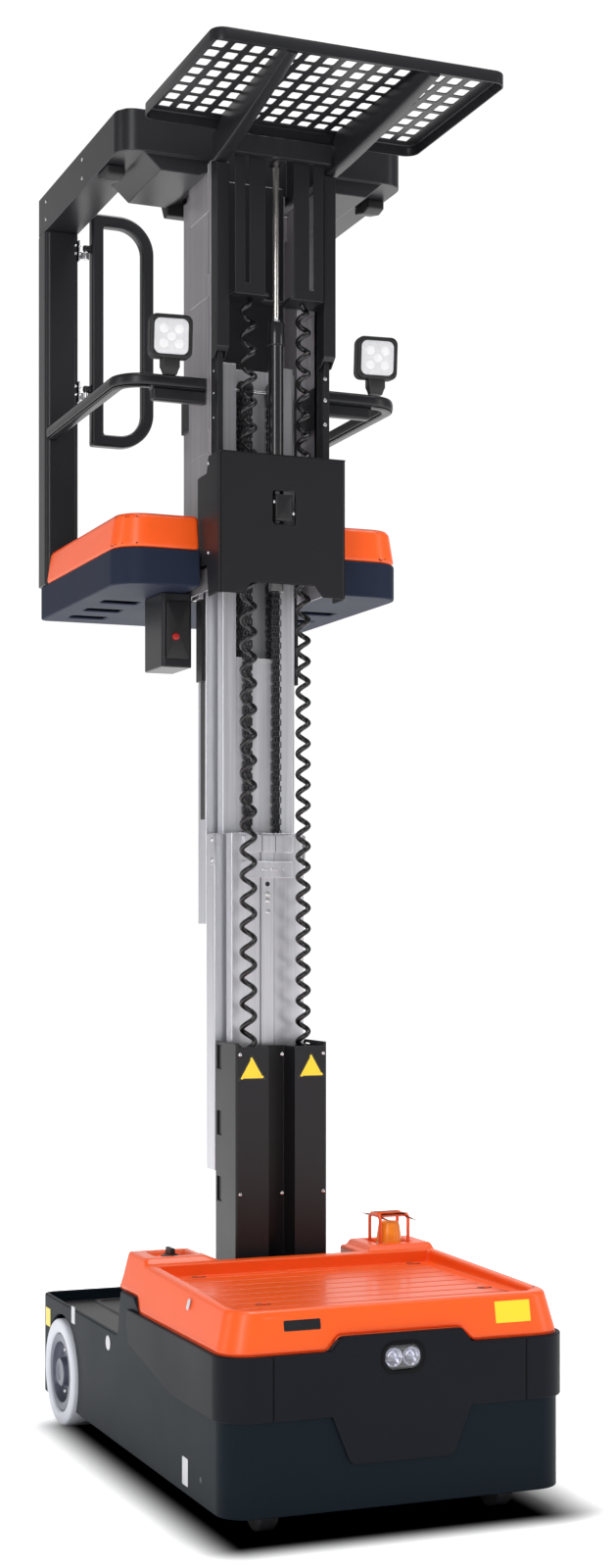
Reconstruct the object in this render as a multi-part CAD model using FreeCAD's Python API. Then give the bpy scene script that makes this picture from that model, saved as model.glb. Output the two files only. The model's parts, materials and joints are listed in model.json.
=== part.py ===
import FreeCAD, Part
import math
import os

os.makedirs("parts", exist_ok=True)

V = FreeCAD.Vector

# Frame: millimetres, X right, Y rear, Z up. Lengths along the truck are given from its front face.
BASE_LENGTH = 1330.0
OVERHANG = 120.0
LENGTH = BASE_LENGTH + OVERHANG
FRONT = -LENGTH / 2
HALF_WIDTH = 375.0
CLEAR = 5.0
SEAT = 0.3
MAST_TO_REAR = 585.0
STAGE2_Y = BASE_LENGTH - MAST_TO_REAR
DECK_REAR = STAGE2_Y - 30.0

# Base body: folded walls round an open bottom, with a bumper band that stands proud of them
GROUND_GAP = 50.0
WALL = 12.0
PLATE = 6.0
BAND = 8.0
BAND_BOTTOM = 235.0
BAND_LENGTH = DECK_REAR - 102.0
BODY_HALF = HALF_WIDTH - BAND
INNER_HALF = BODY_HALF - WALL
INNER_REAR = BASE_LENGTH - WALL
BODY_TOP = 361.0
HUMP_TOP = BODY_TOP + 28.0
HUMP_START, HUMP_FLAT = DECK_REAR - 170.0, DECK_REAR - 127.0
HUMP_END, HUMP_FOOT = DECK_REAR - 33.0, DECK_REAR - 9.0
REAR_TOP = 288.0
COVER_TOP = REAR_TOP - 24.0
CORNER = 60.0
REAR_CORNER = 30.0
FIREWALL = DECK_REAR - 135.0

# Headlamp and its raised tab in the band
TAB_TOP = HUMP_TOP
TAB_HALF, TAB_FOOT_HALF = 130.0, 158.0
SKIRT_BOTTOM = 139.0
SKIRT_HALF, SKIRT_FOOT_HALF = 150.0, 110.0
SEAM_X, SEAM_WIDTH, SEAM_DEPTH = 270.0, 3.0, 2.5
LAMP_Z = 341.0
LAMP_HALF, LAMP_HEIGHT = 37.0, 50.0
LENS_R = 17.0

# Deck cover: a tapered moulding that rises to the rear, with a recessed floor and two raised rear blocks
DECK_FRONT = 10.0
DECK_SKIN = 6.0
DECK_TOP = 470.0
DECK_INSET = 28.0
DECK_RAKE = 21.0
RIM_FRONT_Z, RIM_REAR_Z = 444.0, 458.0
RIM_WIDTH = 20.0
DECK_FLOOR = 430.0
DECK_FLOOR_REAR = DECK_REAR - 153.0
BLOCK_FRONT = DECK_REAR - 123.0
GROOVES, GROOVE_WIDTH, GROOVE_DEPTH = 9, 8.0, 2.0
POCKET_DEPTH = 14.0

# Wheels
DRIVE_R = 125.0
DRIVE_WIDTH = 80.0
DRIVE_Y = BASE_LENGTH - 180.0
ARCH_GAP = 10.0
RIM_R = 92.0
DISH_R = 70.0
NAVE_R = 34.0
AXLE_R = 22.0
MOTOR_R = 62.0
FLANGE_R = 75.0
BEAM_HALF = 15.0
CASTER_R = 55.0
CASTER_WIDTH = 36.0
CASTER_X = HALF_WIDTH - 120.0
CASTER_Y = 140.0
CASTER_TRAIL = 28.0
CASTER_DECK = 160.0
FORK_SHEET = 5.0
PIN_R = 6.0

# Heights of the platform, raised by the lift's travel above its lowest place
TRAVEL_DOWN = 1654.0
REST_GAP = 6.0
PAN_BOTTOM = REAR_TOP + REST_GAP + TRAVEL_DOWN
PAN_HEIGHT = 82.0
RIM_BOTTOM = PAN_BOTTOM + PAN_HEIGHT
RIM_TOP = RIM_BOTTOM + 78.0

# Nested mast sections: a tongue in front slides in the channel of the section ahead of it
HEAD_HALF = 86.5
HEAD_DEPTH = 33.0
NECK_HALF = 55.0
LIP = 6.0
WEB = 4.0
SKIN = 5.0
NECK_DEPTH = LIP + 2 * CLEAR
CHANNEL_INNER = HEAD_HALF + CLEAR + 0.5
CHANNEL_HALF = CHANNEL_INNER + 18.0
CHANNEL_DEPTH = WEB + HEAD_DEPTH + 2 * CLEAR + LIP
LIP_HALF = NECK_HALF + CLEAR
PITCH = HEAD_DEPTH + NECK_DEPTH + WEB + CLEAR
STAGE3_Y = STAGE2_Y + PITCH
COLUMN_Y = STAGE3_Y + PITCH
SPINE_Y = COLUMN_Y + HEAD_DEPTH + NECK_DEPTH
SPINE_DEPTH = 80.0
SPINE_WALL = 8.0
SPINE_REAR = SPINE_Y + SPINE_DEPTH
WELL_REAR = SPINE_REAR + 25.0
WELL_FLOOR = 60.0
STAGE1_BOTTOM = WELL_FLOOR + PLATE
STAGE1_TOP = 925.0
STAGE2_BOTTOM = 629.0
STAGE2_TOP = 1396.0
STAGE3_BOTTOM = 1189.0
STAGE3_TOP = RIM_BOTTOM + 440.0
CROSSBAR_HALF, CROSSBAR_HEIGHT, CROSSBAR_DEPTH = 60.0, 38.0, 12.0
STRIP_HALF, STRIP_DEPTH = 17.0, 3.0
CHAIN_HALF, CHAIN_DEPTH = 14.0, 5.0
PULLEY_R, PULLEY_Z = 22.0, STAGE3_TOP - 56.0
PULLEY_PIN_R = 5.0

# Mast shield, with a channel down its front for the tray cylinder
SHEET = 4.0
SHIELD_HALF = CHANNEL_HALF - 1.0
SHIELD_REAR = STAGE2_Y - CLEAR - WEB + CHANNEL_DEPTH
SHIELD_FRONT = SHIELD_REAR - 137.0
CYLINDER_R = 17.5
GLAND_R = CYLINDER_R + 3.0
ROD_R = 7.25
TRAY_AXIS_Y = SHIELD_FRONT + 38.0
SLOT_HALF = GLAND_R + 2 * CLEAR + 0.5
SLOT_REAR = TRAY_AXIS_Y + GLAND_R + CLEAR + 1.5
WINDOW_Z = (565.0, 714.0, 863.0)
WINDOW_HEIGHT = 54.0
WINDOW_NEAR, WINDOW_FAR = SHIELD_REAR - 40.0, SHIELD_REAR - 11.0

# Guides of the load tray on the carriage, and the box round them that drops past the shield
RAIL_INNER = SHIELD_HALF + CLEAR + 1.0
RAIL_OUTER = RAIL_INNER + 26.0
RAIL_BACK = TRAY_AXIS_Y + 38.0
RAIL_FRONT = RAIL_BACK - 28.0
RAIL_PLATE = 14.0
SIDE_DROP = 173.0
SIDE_DEPTH = 58.0
SIDE_REAR = 50.0
RAIL_WEB_IN, RAIL_WEB_OUT = RAIL_INNER + 7.0, RAIL_OUTER - 6.0
BOX_SHEET = 3.0
BOX_HALF = RAIL_OUTER + 11.0
BOX_FRONT = SHIELD_FRONT - 46.0
BOX_NOSE_HALF = BOX_HALF - 24.0
BOX_CHAMFER = 32.0
BOX_TRIM, BOX_TRIM_TOP = 74.0, 38.0
BOX_WINDOW_LOW, BOX_WINDOW_HIGH = 176.0, 260.0
BOX_WINDOW_X0, BOX_WINDOW_X1 = -62.0, -12.0
BOX_NOTCH_HALF = 96.0
SLIDE_INNER = SHIELD_HALF + CLEAR
SLIDE_OUTER = BOX_HALF - BOX_SHEET - CLEAR - 1.0
SLIDE_DEPTH = 40.0
DECK_NOTCH_FRONT = BOX_FRONT - 2 * CLEAR - 1.0
DECK_NOTCH_HALF = BOX_HALF + 13.0

# Operator platform
PAN_WALL = 8.0
MAT = 14.0
CAGE_HALF = HALF_WIDTH - 28.0
CAGE_CORNER = 70.0
CONSOLE_FRONT = STAGE2_Y + 3.0
PLATFORM_FRONT = CONSOLE_FRONT + 12.0
PLATFORM_REAR = LENGTH - 20.0
MAST_GAP_HALF = BOX_HALF + SHEET - 1.0
POST_FRONT = LENGTH - 80.0
POST_INNER = CAGE_HALF - 85.0
POST_WALL = 5.0
CAGE_HEIGHT = 878.0
CONSOLE_BOTTOM = RIM_BOTTOM + CAGE_HEIGHT
CONSOLE_TOP = CONSOLE_BOTTOM + 93.0
CONSOLE_REAR = SPINE_REAR + 20.0
CONSOLE_SLOT_HALF = CHANNEL_HALF + CLEAR + 3.0
CONSOLE_SLOT_REAR = 922.0
COLUMN_BOTTOM = PAN_BOTTOM + 2.0
COLUMN_TOP = CONSOLE_BOTTOM - 3.0
RAILS_TOP = COLUMN_TOP - 5.0
BOX_BOTTOM = PAN_BOTTOM - 32.0
BOX_TOP = BOX_BOTTOM + 322.0
RAIL_R = 15.5
RAIL_Z = RIM_BOTTOM + 375.0
RAIL_Y = STAGE2_Y + 31.0
BRACKET_INNER, BRACKET_OUTER = RAIL_INNER + 12.0, RAIL_INNER + 18.0
LAMP_X = 236.0
WORK_LAMP_HALF = 50.0
WORK_LAMP_BOTTOM = RAIL_Z + 62.0
WORK_LAMP_Y = RAIL_Y - 90.0
WORK_LAMP_DEPTH = 40.0
STEM_BACK = 68.0

# Swing gates
HINGE_R = 8.0
HINGE_HALF = 18.0
GATE_TUBE = 30.0
GATE_HINGE_X = POST_INNER - 22.0
GATE_HINGE_Y = POST_FRONT + GATE_TUBE / 2
GATE_FREE_X = 66.0
GATE_BOTTOM, GATE_TOP = RIM_BOTTOM + 355.0, CONSOLE_BOTTOM + 57.0
GATE_BEND = 90.0
HINGE_Z = (GATE_BOTTOM + 132.0, GATE_TOP - 97.0)

# Load tray
TRAY_HALF = 326.0
TRAY_Z = CONSOLE_BOTTOM + 35.0
TRAY_RIM = 27.0
TRAY_SHEET = 4.0
PANEL_FRONT = TRAY_AXIS_Y - 25.0
TRAY_REAR = PANEL_FRONT - CLEAR - 2.0
TRAY_FRONT = TRAY_REAR - 458.0
HOLE = 26.0
HOLE_COLUMNS, HOLE_ROWS = 15, 10
HOLE_MARGIN = 33.0
ARM_DEPTH = 60.0
ARM_TIP = 26.0
CYLINDER_BOTTOM = PAN_BOTTOM - 13.0
CYLINDER_TOP = TRAY_Z - 395.0
ROD_INSIDE = 298.0
SLIDE_LENGTH = 430.0
SHOE_HEIGHT = 40.0
CORD_X = 66.0
CORD_R = 19.0
CORD_BOTTOM, CORD_TOP = 300.0, RIM_BOTTOM + 560.0
PANEL_IN, PANEL_OUT = SLOT_HALF + 3.0, SHIELD_HALF - 3.0
PANEL_TOP = TRAY_Z - 13.0
CONTROL_IN, CONTROL_OUT = -140.0, -212.0
CONTROL_DEPTH = 171.0


def y(from_front):
    return FRONT + from_front


def save(node, *solids):
    shape = solids[0] if len(solids) == 1 else Part.makeCompound(list(solids))
    shape.exportStep(os.path.join("parts", node + ".step"))


def block(x0, x1, y0, y1, z0, z1):
    return Part.makeBox(abs(x1 - x0), y1 - y0, z1 - z0, V(min(x0, x1), y(y0), z0))


def rod(radius, start, end):
    a = V(start[0], y(start[1]), start[2])
    b = V(end[0], y(end[1]), end[2])
    return Part.makeCylinder(radius, (b - a).Length, a, b - a)


def across(radius, x0, x1, v, z):
    """A round bar along X."""
    return rod(radius, (x0, v, z), (x1, v, z))


def upright(radius, x, v, z0, z1):
    """A round bar along Z."""
    return rod(radius, (x, v, z0), (x, v, z1))


def mirror(shape):
    return shape.mirror(V(0, 0, 0), V(1, 0, 0))


def both(shape):
    return [mirror(shape), shape]


def fuse(*shapes):
    whole = shapes[0]
    for shape in shapes[1:]:
        whole = whole.fuse(shape)
    return whole.removeSplitter()


def cut(shape, *tools):
    for tool in tools:
        shape = shape.cut(tool)
    return shape


def outline(plane, corners, level):
    """A closed wire from corners (a, b) or (a, b, radius) in one plane."""
    place = {
        "xy": lambda a, b: V(a, y(b), level),
        "xz": lambda a, b: V(a, y(level), b),
        "yz": lambda a, b: V(level, y(a), b),
    }[plane]
    points = [place(c[0], c[1]) for c in corners]
    radii = [c[2] if len(c) > 2 else 0.0 for c in corners]
    ends = []
    for i, p in enumerate(points):
        if radii[i] == 0.0:
            ends.append((p, p, None))
            continue
        u = (points[i - 1] - p).normalize()
        w = (points[(i + 1) % len(points)] - p).normalize()
        half = u.getAngle(w) / 2
        trim = radii[i] / math.tan(half)
        middle = p + (u + w).normalize() * (radii[i] / math.sin(half) - radii[i])
        ends.append((p + u * trim, p + w * trim, middle))
    edges = []
    for i, (a, b, middle) in enumerate(ends):
        if middle is not None:
            edges.append(Part.Arc(a, middle, b).toShape())
        following = ends[(i + 1) % len(ends)][0]
        if (following - b).Length > 1e-6:
            edges.append(Part.makeLine(b, following))
    return Part.Wire(edges)


def prism(plane, corners, low, high):
    """An outline pushed from one level of the third axis to another."""
    low, high = min(low, high), max(low, high)
    push = {"xy": V(0, 0, high - low), "xz": V(0, high - low, 0), "yz": V(high - low, 0, 0)}[plane]
    return Part.Face(outline(plane, corners, low)).extrude(push)


def loft(low_corners, low, high_corners, high):
    return Part.makeLoft([outline("xy", low_corners, low), outline("xy", high_corners, high)], True, True)


def rounded(a0, a1, b0, b1, radius):
    return [(a0, b0, radius), (a1, b0, radius), (a1, b1, radius), (a0, b1, radius)]


def chamfered(a0, a1, b0, b1, leg):
    return [
        (a0 + leg, b0), (a1 - leg, b0), (a1, b0 + leg), (a1, b1 - leg),
        (a1 - leg, b1), (a0 + leg, b1), (a0, b1 - leg), (a0, b0 + leg),
    ]


def bent_bar(points, half_width, half_height, leg, bend):
    """A level bar of eight-sided section along corner points, with bends of one radius."""
    spots = [V(p[0], y(p[1]), p[2]) for p in points]
    edges = []
    last = spots[0]
    for i in range(1, len(spots) - 1):
        u = (spots[i - 1] - spots[i]).normalize()
        w = (spots[i + 1] - spots[i]).normalize()
        half = u.getAngle(w) / 2
        trim = bend / math.tan(half)
        a = spots[i] + u * trim
        b = spots[i] + w * trim
        middle = spots[i] + (u + w).normalize() * (bend / math.sin(half) - bend)
        edges.append(Part.makeLine(last, a))
        edges.append(Part.Arc(a, middle, b).toShape())
        last = b
    edges.append(Part.makeLine(last, spots[-1]))
    along = (spots[1] - spots[0]).normalize()
    side = along.cross(V(0, 0, 1))
    section = chamfered(-half_width, half_width, -half_height, half_height, leg)
    ring = [spots[0] + side * a + V(0, 0, b) for a, b in section]
    return Part.Wire(edges).makePipeShell([Part.makePolygon(ring + ring[:1])], True, False)


def body_outline(inset, front_radius, rear_radius):
    half = BODY_HALF - inset
    near, far = BAND + inset, BASE_LENGTH - inset
    front = [(-half, near, front_radius), (half, near, front_radius)]
    return front + [(half, far, rear_radius), (-half, far, rear_radius)]


# Base
def base_shell():
    shell = prism("xy", body_outline(0, CORNER, REAR_CORNER), GROUND_GAP, HUMP_TOP)
    above = HUMP_TOP + 1
    shell = shell.cut(prism("xy", body_outline(WALL, CORNER - WALL, REAR_CORNER - WALL), GROUND_GAP - 1, above))
    front_step = [
        (-1, BODY_TOP), (HUMP_START, BODY_TOP), (HUMP_FLAT, HUMP_TOP), (HUMP_FLAT, above), (-1, above),
    ]
    rear_step = [
        (HUMP_END, above), (HUMP_END, HUMP_TOP), (HUMP_FOOT, REAR_TOP, 12), (LENGTH, REAR_TOP), (LENGTH, above),
    ]
    steps = [prism("yz", corners, -HALF_WIDTH, HALF_WIDTH) for corners in (front_step, rear_step)]
    arch = across(DRIVE_R + ARCH_GAP, -HALF_WIDTH, HALF_WIDTH, DRIVE_Y, DRIVE_R)
    return cut(shell, *steps, arch, lamp_pocket())


def base_frame():
    caster_deck = prism("xy", [
        (-INNER_HALF, BAND + WALL, CORNER - WALL), (INNER_HALF, BAND + WALL, CORNER - WALL),
        (INNER_HALF, FIREWALL), (-INNER_HALF, FIREWALL),
    ], CASTER_DECK, CASTER_DECK + PLATE + 4)
    firewall = block(-INNER_HALF, INNER_HALF, FIREWALL, FIREWALL + PLATE, WELL_FLOOR, BODY_TOP)
    floor = block(-INNER_HALF, INNER_HALF, FIREWALL, WELL_REAR, WELL_FLOOR, WELL_FLOOR + PLATE)
    under_cover = COVER_TOP - PLATE
    wall_half = HALF_WIDTH - DRIVE_WIDTH - ARCH_GAP
    well_rear = block(-wall_half, wall_half, WELL_REAR, WELL_REAR + PLATE, WELL_FLOOR, under_cover)
    beam = block(beam_x() - BEAM_HALF, beam_x() + BEAM_HALF, WELL_REAR, INNER_REAR, beam_z(), under_cover)
    return fuse(caster_deck, firewall, floor, well_rear, *both(beam))


def beam_x():
    return HALF_WIDTH - DRIVE_WIDTH - 3 * BEAM_HALF


def beam_z():
    return DRIVE_R + FLANGE_R


def front_band():
    half, radius = HALF_WIDTH, CORNER + BAND
    outer = [(-half, 0, radius), (half, 0, radius), (half, BAND_LENGTH), (-half, BAND_LENGTH)]
    band = prism("xy", outer, BAND_BOTTOM, BODY_TOP)
    band = band.cut(prism("xy", body_outline(0, CORNER, 0), BAND_BOTTOM - 1, BODY_TOP + 1))
    lower = [
        (BAND_LENGTH / 2, BAND_BOTTOM - 1), (LENGTH, BAND_BOTTOM - 1), (LENGTH, BODY_TOP - 31),
        (BAND_LENGTH, BODY_TOP - 31), (BAND_LENGTH - 9, BODY_TOP - 71),
    ]
    band = band.cut(prism("yz", lower, -HALF_WIDTH, HALF_WIDTH))
    tab = prism("xz", [
        (-TAB_FOOT_HALF, BAND_BOTTOM), (TAB_FOOT_HALF, BAND_BOTTOM), (TAB_FOOT_HALF, BODY_TOP - 10),
        (TAB_HALF, TAB_TOP, 8), (-TAB_HALF, TAB_TOP, 8), (-TAB_FOOT_HALF, BODY_TOP - 10),
    ], 0, BAND)
    skirt = prism("xz", [
        (-SKIRT_HALF, BAND_BOTTOM + 1), (SKIRT_HALF, BAND_BOTTOM + 1),
        (SKIRT_FOOT_HALF, SKIRT_BOTTOM, 14), (-SKIRT_FOOT_HALF, SKIRT_BOTTOM, 14),
    ], 0, BAND)
    seam = block(SEAM_X, SEAM_X + SEAM_WIDTH, -1, SEAM_DEPTH, BAND_BOTTOM - 1, BODY_TOP + 1)
    return cut(fuse(band, tab, skirt), lamp_pocket(), *both(seam))


def lamp_outline(grow):
    half, high = LAMP_HALF + grow, LAMP_HEIGHT / 2 + grow
    return rounded(-half, half, LAMP_Z - high, LAMP_Z + high, high - 2)


def lamp_pocket():
    return prism("xz", lamp_outline(0), -BAND, BAND + WALL + 1)


def headlamp():
    """An oval housing in the front wall, its dished glass face with two round lenses."""
    body = prism("xz", lamp_outline(-SEAT), 1, BAND + WALL - 2)
    dish = prism("xz", lamp_outline(-3), 0, 5)
    lenses = [rod(LENS_R, (x, 2.5, LAMP_Z), (x, 5, LAMP_Z)) for x in (1 - LENS_R, LENS_R - 1)]
    return fuse(body.cut(dish), *lenses)


def deck_outline(half, near, radius, notch):
    return [
        (-half, near, radius), (half, near, radius), (half, DECK_REAR), (notch, DECK_REAR),
        (notch, DECK_NOTCH_FRONT), (-notch, DECK_NOTCH_FRONT), (-notch, DECK_REAR), (-half, DECK_REAR),
    ]


def deck_top_half():
    return BODY_HALF - DECK_INSET


def deck_cover():
    low = deck_outline(BODY_HALF, DECK_FRONT, CORNER, DECK_NOTCH_HALF)
    high = deck_outline(deck_top_half(), DECK_FRONT + DECK_RAKE, CORNER - 8, DECK_NOTCH_HALF)
    cover = loft(low, BODY_TOP, high, DECK_TOP)
    under = DECK_FLOOR - DECK_SKIN
    skin = DECK_SKIN
    notch = DECK_NOTCH_HALF + skin
    low = deck_outline(BODY_HALF - skin, DECK_FRONT + skin, CORNER - skin, notch)
    high = deck_outline(deck_top_half(), DECK_FRONT + DECK_RAKE, CORNER - skin, notch)
    cover = cover.cut(loft(low, BODY_TOP - 1, high, under))
    above = DECK_TOP + 1
    rise = [
        (-1, RIM_FRONT_Z), (BLOCK_FRONT - 14, RIM_REAR_Z), (BLOCK_FRONT, DECK_TOP),
        (BLOCK_FRONT, above), (-1, above),
    ]
    between = [
        (-DECK_NOTCH_HALF - 40, above), (-DECK_NOTCH_HALF - 40, DECK_TOP), (-DECK_NOTCH_HALF - 17, RIM_REAR_Z),
        (DECK_NOTCH_HALF + 17, RIM_REAR_Z), (DECK_NOTCH_HALF + 22, above),
    ]
    half = deck_top_half() - RIM_WIDTH
    near = DECK_FRONT + DECK_RAKE + RIM_WIDTH
    corners = [(-half, near, 30), (half, near, 30), (half, DECK_FLOOR_REAR), (-half, DECK_FLOOR_REAR)]
    floor = prism("xy", corners, DECK_FLOOR, above)
    hump = [
        (HUMP_START - 1, BODY_TOP - 5), (HUMP_START - 1, BODY_TOP), (HUMP_FLAT - 1, HUMP_TOP + SEAT),
        (DECK_REAR + 1, HUMP_TOP + SEAT), (DECK_REAR + 1, BODY_TOP - 5),
    ]
    cover = cut(cover, floor, lamp_tab_recess())
    cover = cover.cut(prism("yz", rise, -HALF_WIDTH, HALF_WIDTH))
    cover = cover.cut(prism("yz", hump, -HALF_WIDTH, HALF_WIDTH))
    cover = cover.cut(prism("xz", between, DECK_NOTCH_FRONT - 22, LENGTH))
    pockets = []
    for x, v in deck_fittings():
        corners = chamfered(x - 42, x + 42, v - 37, v + 37, 4)
        pockets.append(prism("xy", corners, DECK_TOP - POCKET_DEPTH, above))
    step = (DECK_FLOOR_REAR - near - 60) / (GROOVES - 1)
    for i in range(GROOVES):
        v = near + 30 + i * step
        pockets.append(block(30 - half, half - 30, v, v + GROOVE_WIDTH, DECK_FLOOR - GROOVE_DEPTH, above))
    return cut(cover, *pockets)


def lamp_tab_recess():
    """The step in the deck's front edge over the raised tab of the band."""
    grow = SEAT
    return prism("xz", [
        (-TAB_FOOT_HALF - grow, BODY_TOP - 1), (TAB_FOOT_HALF + grow, BODY_TOP - 1),
        (TAB_HALF + grow, TAB_TOP + grow), (-TAB_HALF - grow, TAB_TOP + grow),
    ], -1, DECK_FRONT + 10)


def deck_fittings():
    """Places of the knob on the left block and the beacon on the right one."""
    side = (deck_top_half() + DECK_NOTCH_HALF) / 2 + 10
    middle = (BLOCK_FRONT + DECK_REAR) / 2
    return (-side, middle), (side, middle)


def deck_knob():
    x, v = deck_fittings()[0]
    floor = DECK_TOP - POCKET_DEPTH
    top = floor + 26
    section = [(x - 6, floor + 9), (x + 6, floor + 9), (x + 5, top, 3), (x - 5, top, 3)]
    return fuse(upright(20, x, v, floor, floor + 10), prism("xz", section, v - 19, v + 19))


def beacon():
    """A round foot and an amber lens that tapers to a flat top."""
    x, v = deck_fittings()[1]
    floor = DECK_TOP - POCKET_DEPTH
    foot = upright(30, x, v, floor, floor + 12)
    lens = Part.makeCone(26, 20, 34, V(x, y(v), floor + 12))
    cap = Part.makeCone(20, 13, 8, V(x, y(v), floor + 46))
    return fuse(foot, lens, cap)


def beacon_guard():
    """Two flat hoops along the truck, joined by cross bars over the beacon."""
    x, v = deck_fittings()[1]
    low, high = DECK_TOP - POCKET_DEPTH, DECK_TOP + 62
    near, far, bar = v - 33, v + 33, 7
    pieces = []
    for side in (x - 38, x + 31):
        hoop = prism("yz", [(near, low), (near, high, 14), (far, high, 14), (far, low)], side, side + bar)
        under = high - bar
        inside = [(near + bar, low - 1), (near + bar, under, 7), (far - bar, under, 7), (far - bar, low - 1)]
        pieces.append(hoop.cut(prism("yz", inside, side - 1, side + bar + 1)))
    pieces += [block(x - 38, x + 38, u, u + bar, high - bar, high) for u in (v - 22, v + 15)]
    return fuse(*pieces)


def battery_block():
    half = BODY_HALF - 67
    return block(-half, half, BAND + 52, FIREWALL - 20, CASTER_DECK + PLATE + 4, BODY_TOP - 11)


def rear_cover():
    far = INNER_REAR - 2
    near = DECK_REAR + 4
    half = INNER_HALF
    corners = [(-half, near), (half, near), (half, far, 16), (-half, far, 16)]
    plate = prism("xy", corners, COVER_TOP - PLATE, COVER_TOP)
    under, above = COVER_TOP - 20, COVER_TOP + 20
    well = block(-DECK_NOTCH_HALF, DECK_NOTCH_HALF, DECK_REAR, WELL_REAR - 2, under, above)
    control = block(CONTROL_OUT - 8, CONTROL_IN, SPINE_REAR - 160, WELL_REAR - 2, under, above)
    near, far, half = WELL_REAR + 25, BASE_LENGTH - 40, INNER_HALF - 105
    lip = prism("xy", chamfered(-half, half, near, far, 14), COVER_TOP - 2, COVER_TOP + 4)
    inside = chamfered(12 - half, half - 12, near + 12, far - 12, 9)
    lip = lip.cut(prism("xy", inside, COVER_TOP - 10, COVER_TOP + 10))
    return fuse(cut(plate, well, control), lip)


def drive_units():
    """Each side: motor and gear case on a hanger under the frame beam, with a flange and the wheel's axle."""
    inner = HALF_WIDTH - DRIVE_WIDTH
    motor = across(MOTOR_R, inner - 175, inner - 17, DRIVE_Y, DRIVE_R)
    flange = across(FLANGE_R, inner - 33, inner - 17, DRIVE_Y, DRIVE_R)
    axle = across(AXLE_R, inner - 25, inner + 40, DRIVE_Y, DRIVE_R)
    hanger = block(beam_x() - BEAM_HALF, beam_x() + BEAM_HALF, DRIVE_Y - 60, DRIVE_Y + 60, DRIVE_R, beam_z())
    return both(fuse(motor, flange, axle, hanger))


def drive_wheel():
    """The tyre and its dished hub, bored from inside for the axle."""
    outer, inner = HALF_WIDTH, HALF_WIDTH - DRIVE_WIDTH
    tyre = across(DRIVE_R, inner, outer, DRIVE_Y, DRIVE_R)
    tyre = tyre.cut(across(RIM_R, inner - 1, outer + 1, DRIVE_Y, DRIVE_R))
    hub = across(RIM_R, inner + 2, outer - 4, DRIVE_Y, DRIVE_R)
    hub = hub.cut(across(DISH_R, outer - 22, outer, DRIVE_Y, DRIVE_R))
    hub = fuse(hub, across(NAVE_R, outer - 30, outer - 2, DRIVE_Y, DRIVE_R))
    return tyre, hub.cut(across(AXLE_R + SEAT, inner - 1, inner + 40 + CLEAR, DRIVE_Y, DRIVE_R))


def caster_fork():
    """A top plate and neck under the caster deck, a bridge, two trailing cheeks and the axle pin."""
    wheel_y = CASTER_Y - CASTER_TRAIL
    half = CASTER_WIDTH / 2 + 4
    plate = upright(44, CASTER_X, CASTER_Y, CASTER_DECK - 10, CASTER_DECK - SEAT)
    neck = upright(34, CASTER_X, CASTER_Y, CASTER_DECK - 20, CASTER_DECK - 9)
    cheek = [
        (wheel_y - 12, CASTER_R - 12), (wheel_y + 12, CASTER_R - 12), (CASTER_Y + 30, CASTER_DECK - 32),
        (CASTER_Y + 30, CASTER_DECK - 20), (CASTER_Y - 40, CASTER_DECK - 20), (CASTER_Y - 44, CASTER_DECK - 32),
    ]
    outer = half + FORK_SHEET
    cheeks = [prism("yz", cheek, CASTER_X + side * half, CASTER_X + side * outer) for side in (-1, 1)]
    low, high = CASTER_DECK - 26, CASTER_DECK - 18
    bridge = block(CASTER_X - outer, CASTER_X + outer, CASTER_Y - 42, CASTER_Y + 30, low, high)
    pin = across(PIN_R, CASTER_X - half - 8, CASTER_X + half + 8, wheel_y, CASTER_R)
    return fuse(plate, neck, bridge, *cheeks, pin)


def caster_wheel():
    wheel_y = CASTER_Y - CASTER_TRAIL
    low, high = CASTER_X - CASTER_WIDTH / 2, CASTER_X + CASTER_WIDTH / 2
    wheel = across(CASTER_R, low, high, wheel_y, CASTER_R)
    return wheel.cut(across(PIN_R + SEAT, low - 1, high + 1, wheel_y, CASTER_R))


# Mast
def tongue(front, bottom, top, opening):
    """The sliding front of a section: a wide hollow head on a narrower hollow neck."""
    head_rear = front + HEAD_DEPTH
    neck_rear = head_rear + NECK_DEPTH
    outer = [
        (-HEAD_HALF, front, 3), (HEAD_HALF, front, 3), (HEAD_HALF, head_rear), (NECK_HALF, head_rear),
        (NECK_HALF, neck_rear), (-NECK_HALF, neck_rear), (-NECK_HALF, head_rear), (-HEAD_HALF, head_rear),
    ]
    head = block(SKIN - HEAD_HALF, HEAD_HALF - SKIN, front + SKIN, head_rear - SKIN, bottom - 1, top + 1)
    neck = block(SKIN - NECK_HALF, NECK_HALF - SKIN, front + SKIN, neck_rear, bottom - 1, top + 1)
    shape = cut(prism("xy", outer, bottom, top), fuse(head, neck))
    if opening > 0:
        shape = shape.cut(block(-opening, opening, front - 1, front + SKIN + 1, bottom - 1, top + 1))
    return shape


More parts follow.
